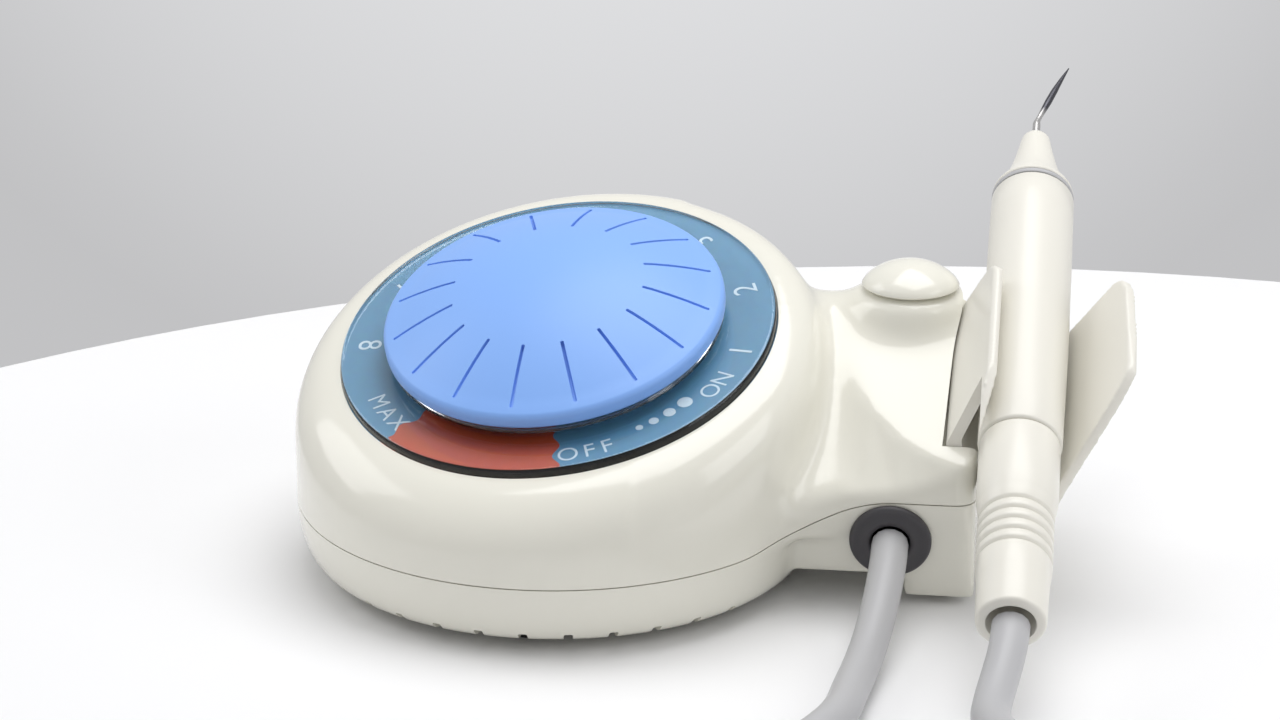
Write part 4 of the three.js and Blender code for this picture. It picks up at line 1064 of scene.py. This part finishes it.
    def notches(self) -> bpy.types.Object:
        """The row of vent notches round the bottom edge, as one cutter."""
        one = brick("notch", (self.foot_r - 6, -1.1, 0),
                    (self.body_r + 3, 1.1, self.bottom_z + 2.5), Matrix())
        eased(one, 0.45, 2)
        many = []
        for i in range(self.notch_count):
            angle = 360 * i / self.notch_count
            if min(angle, 360 - angle) > self.notch_free:
                turn = Matrix.Rotation(math.radians(angle), 4, "Z")
                many.append(twin(one, f"notch_{i}", UPRIGHT @ turn))
        bpy.data.objects.remove(one)
        return gathered("notches", many)

    def build(self) -> None:
        """Builds both shells."""
        shell = self.round_body("case", 0, 0, 128)
        carve(shell, self.neck("neck", 0), Cut.ADD)
        x, y = self.water_spot
        boss = Matrix.Translation(at(x, y, 0))
        carve(shell, self.disc(self.boss_r, 40, self.boss_z, boss, 64), Cut.ADD)
        softened(shell, self.voxel, self.passes)
        self.round_off(shell)
        carve(shell, self.pocket(0), Cut.AWAY)
        hollow = self.round_body("case_hollow", self.wall, self.recess + self.wall, 72)
        carve(hollow, self.neck("neck_hollow", self.wall + 0.6), Cut.ADD)
        carve(hollow, self.pocket(self.wall), Cut.AWAY)
        carve(shell, hollow, Cut.AWAY)
        carve(shell, self.disc(self.panel_r + 0.3, -self.recess, 30, DIAL, 160), Cut.AWAY)
        carve(shell, self.disc(4.8, -12, 5, DIAL), Cut.AWAY)
        carve(shell, self.disc(2.8, 40, 80, boss), Cut.AWAY)
        carve(shell, self.disc(6.5, -8, 8, GROMMET), Cut.AWAY)
        carve(shell, self.disc(4.9, -6, 6, on_back_wall(78, 17)), Cut.AWAY)
        carve(shell, self.disc(3.5, -6, 6, on_back_wall(65, 16)), Cut.AWAY)
        carve(shell, brick("power_hole", (-4.9, -4.9, -6), (4.9, 4.9, 6), on_back_wall(91, 17)), Cut.AWAY)
        lower = twin(shell, "case_lower")
        carve(lower, self.below_seam(-self.seam_gap / 2), Cut.KEEP)
        carve(lower, self.notches(), Cut.AWAY)
        for i in range(1, 5):
            spot = middle_of(f"rubber_foot_{i}")
            carve(lower, self.disc(6.3, -2, 3.5, Matrix.Translation(Vector((*spot.xy, 0)))), Cut.AWAY)
            spot = middle_of(f"case_screw_{i}")
            carve(lower, self.disc(3.3, -2, 4.4, Matrix.Translation(Vector((*spot.xy, 0)))), Cut.AWAY)
        carve(shell, self.below_seam(self.seam_gap / 2), Cut.AWAY)
        shell.name = "case_upper"
        for piece, node in ((lower, "lower_shell"), (shell, "upper_shell")):
            shaded(piece, 32)
            dress(piece, "base", Slot.CASE, [node])


def vertex_angle(vertex: bmesh.types.BMVert, maker: Callable[[float], Vector]) -> float:
    """The angle on a ring that a point of it came from."""
    angle = math.atan2(vertex.co.y, vertex.co.x)
    for _ in range(8):
        made = maker(angle) * MM
        off = math.atan2(vertex.co.y, vertex.co.x) - math.atan2(made.y, made.x)
        off = (off + math.pi) % (2 * math.pi) - math.pi
        angle += off
    return angle


# ---------------------------------------------------------------- dial
@dataclass
class Dial:
    """The printed label, its clear cover, the big knob and what holds it."""

    panel_r: float = 53.6
    hole_r: float = 10.0
    label_low: float = -1.5
    label_top: float = -0.7
    cover_low: float = -0.4
    cover_top: float = 2.0
    knob_r: float = 41.8
    rim_h: float = 8.7
    rim_t: float = 3.8
    dome: float = 10.7
    slot_count: int = 16
    slot_ends: Point2 = (23.0, 40.0)
    letter_r: float = 47.2
    letter_size: float = 6.6
    digit_size: float = 8.4
    marks: Sequence[tuple[str, float]] = (
        ("O", -61.6), ("F", -55.4), ("F", -50.2), ("O", -13.8), ("N", -7.6), ("1", 5.7), ("2", 35.7),
        ("3", 65.3), ("4", 92.0), ("5", 119.0), ("6", 145.0), ("7", 171.4), ("8", 199.3),
        ("M", -132.0), ("A", -125.4), ("X", -119.2),
    )
    dots: Sequence[Point2] = ((-38.9, 0.9), (-33.9, 1.2), (-28.1, 1.5), (-21.9, 1.85))

    def dome_at(self, r: float) -> float:
        """Height of the knob's top over the dial plane."""
        return self.rim_h + self.dome * (1 - (r / (self.knob_r - 1.6)) ** 2)

    def label(self) -> None:
        """The printed ring under the cover."""
        ring = turned("dial_label", [
            (self.hole_r, self.label_low), (self.panel_r, self.label_low), (self.panel_r, self.label_top),
            (self.hole_r, self.label_top), (self.hole_r, self.label_low),
        ], DIAL, 160)
        shaded(ring)
        dress(ring, "base", Slot.LABEL, ["panel_label"], DialPrint().make())

    def letter(self, text: str, angle: float) -> bpy.types.Object:
        """One printed sign, with its top towards the middle of the dial."""
        bpy.ops.object.select_all(action="DESELECT")
        bpy.ops.object.text_add(location=(0, 0, 0))
        sign = bpy.context.object
        sign.data.body = text
        sign.data.size = (self.digit_size if text.isdigit() else self.letter_size) * MM
        sign.data.align_x = "CENTER"
        sign.data.align_y = "CENTER"
        sign.data.offset = -0.00004
        sign.data.extrude = 0.00004
        sign.data.resolution_u = 6
        bpy.ops.object.convert(target="MESH")
        sign = bpy.context.object
        turn = math.radians(angle)
        out = Vector((math.cos(turn), math.sin(turn), 0))
        up = Vector((0, 0, 1))
        spot = out * self.letter_r * MM + up * (self.label_top + 0.05) * MM
        return settle(sign, DIAL @ basis(-out.cross(up), -out, up, spot))

    def printing(self) -> None:
        """Numbers, words and dots, all in one pale ink."""
        signs = [self.letter(text, angle) for text, angle in self.marks]
        for angle, radius in self.dots:
            turn = math.radians(angle)
            spot = Matrix.Translation(Vector((math.cos(turn), math.sin(turn), 0)) * 44.7 * MM)
            signs.append(turned("dot", [(0, self.label_top + 0.01), (radius, self.label_top + 0.01),
                                        (radius, self.label_top + 0.09), (0, self.label_top + 0.09)],
                                DIAL @ spot, 32))
        dress(gathered("dial_marks", signs), "base", Slot.LABEL,
              material=PlainInk("ink_pale", (0.62, 0.72, 0.78)).make())

    def cover(self) -> None:
        """The clear cover with its rounded edge."""
        r, low, top = self.panel_r, self.cover_low, self.cover_top
        cover = turned("dial_cover", [
            (self.hole_r, low), (r, low), (r, top - 1.0), *arc(r - 1.0, top - 1.0, 1.0, 15, 90, 6),
            (self.hole_r, top), (self.hole_r, low),
        ], DIAL, 160)
        shaded(cover, 25)
        dress(cover, "base", Slot.COVER, ["panel_cover"], see_through(Slot.COVER, (0.93, 0.97, 1.0)))

    def knob(self) -> None:
        """The domed knob with its rounded rim, hollow underneath, and sixteen slots."""
        r, rim, bottom = self.knob_r, self.rim_h, self.rim_h - self.rim_t
        hub, bore, wall = 7.0, 3.3, 3.0
        inner = [(x, self.dome_at(x) - wall) for x in (hub, 12, 17, 22, 27, 32)]
        top = [(x, self.dome_at(x)) for x in (38.6, 36.5, 34, 30, 26, 22, 18, 14, 10, 6, 3, 0.0)]
        cap = turned("power_knob_cap", [
            (0, rim + 3), (bore, rim + 3), (bore, bottom - 2.2), (hub, bottom - 2.2), *inner,
            (33, bottom), (r - 0.8, bottom), *arc(r - 0.8, bottom + 0.8, 0.8, -60, 0, 3),
            *arc(r - 1.9, rim - 1.5, 1.9, 0, 62, 7), *top,
        ], Matrix(), 160)
        start, stop = self.slot_ends
        slot = brick("slot", (start, -0.42, 0), (stop, 0.42, 8), Matrix())
        eased(slot, 0.36, 3)
        deep, shallow = self.dome_at(start) - 1.5, self.dome_at(stop) - 0.55
        pitch = math.atan2(deep - shallow, stop - start)
        tip = Matrix.Translation(Vector((start, 0, deep)) * MM) @ Matrix.Rotation(pitch, 4, "Y")
        slot.data.transform(tip @ Matrix.Translation(Vector((-start, 0, 0)) * MM))
        slots = [twin(slot, f"slot_{i}", Matrix.Rotation(2 * math.pi * (i + 0.5) / self.slot_count, 4, "Z"))
                 for i in range(self.slot_count)]
        bpy.data.objects.remove(slot)
        carve(cap, gathered("slots", slots), Cut.AWAY)
        settle(cap, DIAL)
        shaded(cap, 38)
        dress(cap, "power_knob", Slot.KNOB, ["knob_cap"])
        skirt = turned("power_knob_skirt", [
            (34, bottom - 2.3), (r - 1.2, bottom - 2.3), (r - 0.6, bottom - 1.7), (r - 0.6, bottom - 0.3),
            (34, bottom - 0.3), (34, bottom - 2.3),
        ], DIAL, 128)
        shaded(skirt)
        dress(skirt, "power_knob", Slot.COVER, ["knob_skirt"], see_through(Slot.COVER, (0.93, 0.97, 1.0)))

    def build(self) -> None:
        """Builds the dial from the label up."""
        self.label()
        self.printing()
        self.cover()
        self.knob()


# ---------------------------------------------------------------- water control
@dataclass
class WaterKnob:
    """The low domed knob on the neck's ridge."""

    seat: float = 65.1
    radius: float = 12.0
    height: float = 6.3
    skirt: float = 0.6

    def build(self) -> None:
        """Turns the knob as one soft dome."""
        spot = Matrix.Translation(at(84, 26, 0))
        r, low, rise = self.radius, self.seat, self.height - self.skirt
        shares = [1 - i / 14 for i in range(14)]
        dome = [(r * share, low + self.skirt + rise * (1 - share**2) ** 0.75) for share in shares]
        knob = turned("water_knob_cap", [
            (0, low + 3.2), (2.8, low + 3.2), (2.8, low), (r - 0.5, low), (r, low + 0.4), *dome,
            (0, low + self.height),
        ], spot, 96)
        shaded(knob, 40)
        dress(knob, "water_control", Slot.CASE, ["water_knob"])


# ---------------------------------------------------------------- cradle
@dataclass
class Cradle:
    """The open channel with two wings that holds the handpiece."""

    start: float = -8.0
    stop: float = 50.0
    slope_end: float = 14.0
    inner: float = 11.6
    wall: float = 2.6
    floor: float = 11.4
    near: tuple[float, float, float, float] = (0.4, 11.4, 11.4, 2.0)
    far: tuple[float, float, float, float] = (3.0, 25.6, 22.6, -9.4)

    def half(self, flare: float, rim: float) -> list[Point2]:
        """One side of the channel's section, from under its floor over the rim to its floor."""
        inner, wall, floor = self.inner, self.wall, self.floor
        edge = inner + flare
        return [
            (inner + 0.6, -floor - wall), (inner + wall, -floor + 0.6), (edge + wall, rim - 1),
            (edge + wall - 1, rim), (edge + 1, rim), (edge, rim - 1), (inner, -floor + 3.5),
            (inner - 2.6, -floor),
        ]

    def trims(self, rim: float, back_rim: float, low: float) -> list[list[Point2]]:
        """What is taken off a wing: its sloping front, its rounded back and the fall of its rim between."""
        high = rim + 4
        front: list[Point2] = [(self.start - 10, high), (self.start - 10, low)]
        for i in range(13):
            t = i / 12
            s = self.start + (self.slope_end - self.start) * t
            front.append((s, low + (rim - low) * (t * t * (3 - 2 * t)) ** 0.8))
        front.append((self.slope_end + 2, high))
        back = [(self.stop - 5, high), *arc(self.stop - 6, back_rim - 6, 6, 90, 0, 8), (self.stop + 4, 0),
                (self.stop + 4, high)]
        fall = [(self.slope_end - 1, rim + 0.2), (self.stop + 1, back_rim), (self.stop + 1, high),
                (self.slope_end - 1, high)]
        return [front, back, fall]

    def build(self) -> None:
        """Builds the cradle, its wing next to the body lower than the outer one."""
        floor = self.floor
        section = [*self.half(*self.near[:2]), *[(-x, y) for x, y in reversed(self.half(*self.far[:2]))]]
        channel = pushed("handpiece_cradle_body", section, self.start, self.stop, HANDSET)
        for s in (38, 45):
            carve(channel, brick("rib", (-7.5, -floor - 0.5, s), (3, -10.8, s + 1.8), HANDSET), Cut.ADD)
        sideways = HANDSET @ Matrix(((0, 0, -1, 0), (0, 1, 0, 0), (1, 0, 0, 0), (0, 0, 0, 1)))
        for wing, side in ((self.near, -1), (self.far, 1)):
            for outline in self.trims(*wing[1:]):
                plate = pushed("trim", outline, min(0, 40 * side), max(0, 40 * side), sideways)
                carve(channel, plate, Cut.AWAY)
        carve(channel, brick("window", (-9.6, -floor - 6, 5), (5, -floor + 4, 25), HANDSET), Cut.AWAY)
        softened(channel, 0.55, 5)
        lip = brick("lip", (60, -90, 0), (103.3, -19.2, 120), UPRIGHT)
        carve(channel, lip, Cut.AWAY)
        shaded(channel, 40)
        channel.name = "handpiece_holder"
        dress(channel, "base", Slot.HANDPIECE, ["handpiece_cradle"])


# ---------------------------------------------------------------- handpiece
@dataclass
class Handpiece:
    """Connector on the hose's end, sleeve, ring, nose cone and tip."""

    sleeve_l: float = 91.3
    sleeve_r: float = 10.5
    sleeve_bore: float = 8.7
    nose_top: float = 117.3
    tip_gap: float = 0.9
    tip_turn: float = 153

    def connector(self) -> None:
        """The connector's shell with five rounded grooves and a rounded mouth for the hose."""
        rib, depth, end = 8.9, 0.75, -58.0
        outline: list[Point2] = [
            (5.4, end + 0.8), (5.8, end), (7.1, end), *arc(7.1, end + 1.0, 1.0, -60, 0, 4),
            (8.2, end + 6), (8.35, end + 12),
        ]
        for i in range(4, -1, -1):
            s = -25.6 - i * 3.4
            outline += [(rib - 0.05, s - 1.15), (rib - 0.2, s - 0.75), (rib - depth, s - 0.3),
                        (rib - depth, s + 0.3), (rib - 0.2, s + 0.75), (rib - 0.05, s + 1.15)]
        outline += [(9.0, -22.4), (9.25, -21), (9.5, -19.2), (9.6, -17), (9.6, -0.8), (9.45, -0.25),
                    (9.2, -0.15), (6.3, -0.15), (6.3, -22), (5.4, -22), (5.4, end + 0.8)]
        shell = turned("connector_housing", outline, HANDSET, 96)
        shaded(shell, 40)
        dress(shell, "hose_connector", Slot.HANDPIECE, ["connector_shell"])

    def sleeve(self) -> None:
        """The long sleeve, its joint ring and the nose cone."""
        r, bore, top = self.sleeve_r, self.sleeve_bore, self.sleeve_l
        sleeve = turned("handpiece_grip", [
            (bore, 0.15), (9.4, 0.15), (9.85, 0.45), (10.0, 0.9), (10.15, 12), (10.36, 24), (10.48, 34),
            (r, 44), (r, 70), (r - 0.04, 82), (r - 0.12, top - 0.4), (r - 0.4, top), (bore, top),
            (bore, 0.15),
        ], HANDSET, 128)
        shaded(sleeve, 40)
        dress(sleeve, "handpiece", Slot.HANDPIECE, ["handpiece_sleeve"])
        low = top + 0.3
        ring = turned("nose_seal_ring", [
            (bore, low), (r - 0.3, low), (r - 0.1, low + 0.25), (r - 0.1, low + 1.05), (r - 0.3, low + 1.3),
            (bore, low + 1.3), (bore, low),
        ], HANDSET, 96)
        shaded(ring, 40)
        dress(ring, "handpiece", Slot.HOSE, ["nose_ring"])
        n = low + 1.6
        nose = turned("handpiece_nose", [
            (bore, n), (10.1, n), (10.3, n + 0.35), (10.15, n + 1.1), (9.6, n + 2.2), (8.85, n + 3.4),
            (8.0, n + 5), (7.1, n + 7.1), (6.4, n + 9.5), (5.75, n + 12), (5.2, n + 14.8), (4.65, n + 17.6),
            (4.2, n + 20.2), (3.9, n + 22.3), (3.65, n + 23.4), (3.3, n + 24), (3.0, n + 24.1),
            (1.9, n + 24.1), (2.6, n + 13), (4.6, n + 8), (bore, n),
        ], HANDSET, 96)
        shaded(nose, 40)
        dress(nose, "handpiece", Slot.HANDPIECE, ["nose_cone"])

    def tip(self) -> None:
        """The sickle tip: a round shank, a thin neck, then a blade that bends and thins to a point."""
        low, turn = self.nose_top + self.tip_gap, math.radians(self.tip_turn)
        spine = [(0, 0), (0, 5.6), (0.2, 7.2), (1.1, 10.2), (2.6, 15), (4.3, 20.5), (6, 25.6), (7.7, 30.3)]
        sizes = (
            (0, 1.0), (0.18, 1.0), (0.24, 0.7), (0.34, 0.72), (0.5, 0.92), (0.66, 0.86), (0.85, 0.52),
            (1, 0.15),
        )
        fine = Hose().smooth_line([(q, 0, s) for q, s in spine])
        line = Hose().even(fine, 0.8)
        count = len(line)
        bpy.ops.object.select_all(action="DESELECT")
        bpy.ops.mesh.primitive_circle_add(vertices=20, radius=1.0 * MM, fill_type="NGON")
        piece = bpy.context.object
        piece.name = "scaler_tip_sickle"
        bpy.ops.object.mode_set(mode="EDIT")
        bpy.ops.mesh.select_all(action="SELECT")
        spread = [2 * math.pi * k / 20 for k in range(20)]
        for i in range(count):
            t = i / (count - 1)
            if i:
                bpy.ops.mesh.extrude_region()
            way = line[min(i + 1, count - 1)] - line[max(i - 1, 0)]
            way = way / np.linalg.norm(way)
            across = Vector((way[2], 0, -way[0]))
            side = Vector((0, 1, 0))
            size = float(np.interp(t, [a for a, _ in sizes], [b for _, b in sizes]))
            flat = 1 if t < 0.35 else 1 - 0.25 * (t - 0.35) / 0.65
            mesh = bmesh.from_edit_mesh(piece.data)
            ring = walk_round([v for v in mesh.verts if v.select])
            for a, vertex in zip(spread, ring):
                out = across * size * math.cos(a) + side * size * flat * math.sin(a)
                vertex.co = (Vector(line[i]) + out) * MM
            bmesh.update_edit_mesh(piece.data)
        tidy_faces(piece, 1e-6)
        settle(piece, HANDSET @ Matrix.Translation((0, 0, low * MM)) @ Matrix.Rotation(turn, 4, "Z"))
        shaded(piece, 60)
        dress(piece, "handpiece", Slot.STEEL, ["scaler_tip"], TipSteel().make())

    def build(self) -> None:
        """Builds the connector and the handpiece."""
        self.connector()
        self.sleeve()
        self.tip()


def walk_round(points: Sequence[bmesh.types.BMVert]) -> list[bmesh.types.BMVert]:
    """The points of one ring in order round it, read off the face that closes the ring."""
    inside = set(points)
    closing = next(f for f in points[0].link_faces if set(f.verts) == inside)
    return list(closing.verts)


# ---------------------------------------------------------------- small fittings
@dataclass
class Fittings:
    """Grommet, feet and the sockets on the back."""

    names: Sequence[str] = tuple(f"rubber_foot_{i}" for i in range(1, 5))

    def grommet(self) -> None:
        """The dark plate the hose comes out of, with a raised collar."""
        plate = turned("hose_exit_plate", [
            (4.7, -4.4), (7.1, -4.4), (7.1, -2.8), (6.2, -2.8), (6.2, 0.3), (9.8, 0.3), (9.8, 0.8),
            *arc(8.9, 0.8, 0.9, 10, 90, 4), (8.0, 1.62), (6.4, 1.5), (5.9, 1.75), (5.2, 1.8), (4.75, 1.5),
            (4.7, 1.0), (4.7, -4.4),
        ], GROMMET, 96)
        shaded(plate, 40)
        dress(plate, "base", Slot.GROMMET, ["hose_grommet"])

    def foot_pads(self) -> None:
        """Four rubber feet with a rounded edge and a shallow ring on the sole."""
        first = middle_of(self.names[0])
        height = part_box(self.names[0])[1].z / MM
        pad = turned("foot_pad_1", [
            (0, 0.25), (3.6, 0.25), (3.9, 0), (5.2, 0), *arc(5.2, 0.8, 0.8, -70, 0, 4), (6, height),
            (0, height),
        ], Matrix.Translation(Vector((*first.xy, 0))), 64)
        shaded(pad, 40)
        pads = [pad]
        for i, node in enumerate(self.names[1:], 2):
            away = Vector((*(middle_of(node) - first).xy, 0))
            pads.append(twin(pad, f"foot_pad_{i}", Matrix.Translation(away)))
        for piece, node in zip(pads, self.names):
            dress(piece, "base", Slot.RUBBER, [node])

    def sockets(self) -> None:
        """Power socket, foot switch socket and water inlet on the back wall."""
        frame_ = brick("power_inlet", (-6, -6, 0.3), (6, 6, 1.8), on_back_wall(91, 17))
        eased(frame_, 0.7, 3)
        carve(frame_, brick("throat", (-4.6, -4.6, -10), (4.6, 4.6, 1.0), on_back_wall(91, 17)), Cut.ADD)
        carve(frame_, brick("mouth", (-3.4, -3.4, -8), (3.4, 3.4, 4), on_back_wall(91, 17)), Cut.AWAY)
        pin = turned("pin", [(0, -9), (0.7, -9), (0.7, -1.2), (0.35, -0.6), (0, -0.6)], Matrix(), 24)
        for x in (-1.6, 1.6):
            beside = on_back_wall(91, 17) @ Matrix.Translation((x * MM, 0, 0))
            carve(frame_, twin(pin, "pin_copy", beside), Cut.ADD)
        bpy.data.objects.remove(pin)
        shaded(frame_)
        dress(frame_, "base", Slot.PLASTIC, ["power_socket"])
        jack = turned("foot_switch_inlet", [
            (0, -10), (4.6, -10), (4.6, 0.3), (6, 0.3), (6, 1.3), (5.6, 1.8), (3.8, 1.8), (3.4, 1.4),
            (3.4, -8), (0, -8),
        ], on_back_wall(78, 17), 64)
        shaded(jack)
        dress(jack, "base", Slot.PLASTIC, ["foot_switch_socket"])
        barb = turned("water_inlet_barb", [
            (1.6, -9), (3.2, -9), (3.2, 0.5), (4.3, 0.5), (4.6, 0.8), (4.6, 2.7), (4.3, 3), (2.6, 3),
            (3.05, 4.9), (2.6, 5.1), (2.6, 6.6), (3.05, 8.9), (2.6, 9.1), (2.4, 12), (1.6, 12), (1.6, -9),
        ], on_back_wall(65, 16), 64)
        shaded(barb)
        dress(barb, "base", Slot.STEEL, ["water_inlet_fitting"])

    def build(self) -> None:
        """Builds all fittings."""
        self.grommet()
        self.foot_pads()
        self.sockets()


def dress_frame_nodes() -> None:
    """Gives each CAD node that stays in view the finish of its slot."""
    for row in frame["record"]["subparts"]:
        node = frame["nodes"][row["node"]]
        slot = Slot(row["material_slot"])
        node.data.materials.clear()
        if slot is Slot.COVER:
            node.data.materials.append(see_through(slot, (0.93, 0.97, 1.0)))
        elif slot is Slot.LABEL:
            node.data.materials.append(PlainInk("ink_pale", (0.62, 0.72, 0.78)).make())
        else:
            node.data.materials.append(FINISHES[slot].make())


def main() -> None:
    """Builds the studio, the hose and every sub-assembly."""
    logging.basicConfig(level=logging.INFO, format="%(message)s")
    Studio().build()
    Hose().build()
    dress_frame_nodes()
    Case().build()
    Dial().build()
    WaterKnob().build()
    Cradle().build()
    Handpiece().build()
    Fittings().build()
    if bpy.context.mode != "OBJECT":
        bpy.ops.object.mode_set(mode="OBJECT")


if __name__ == "__main__":
    main()
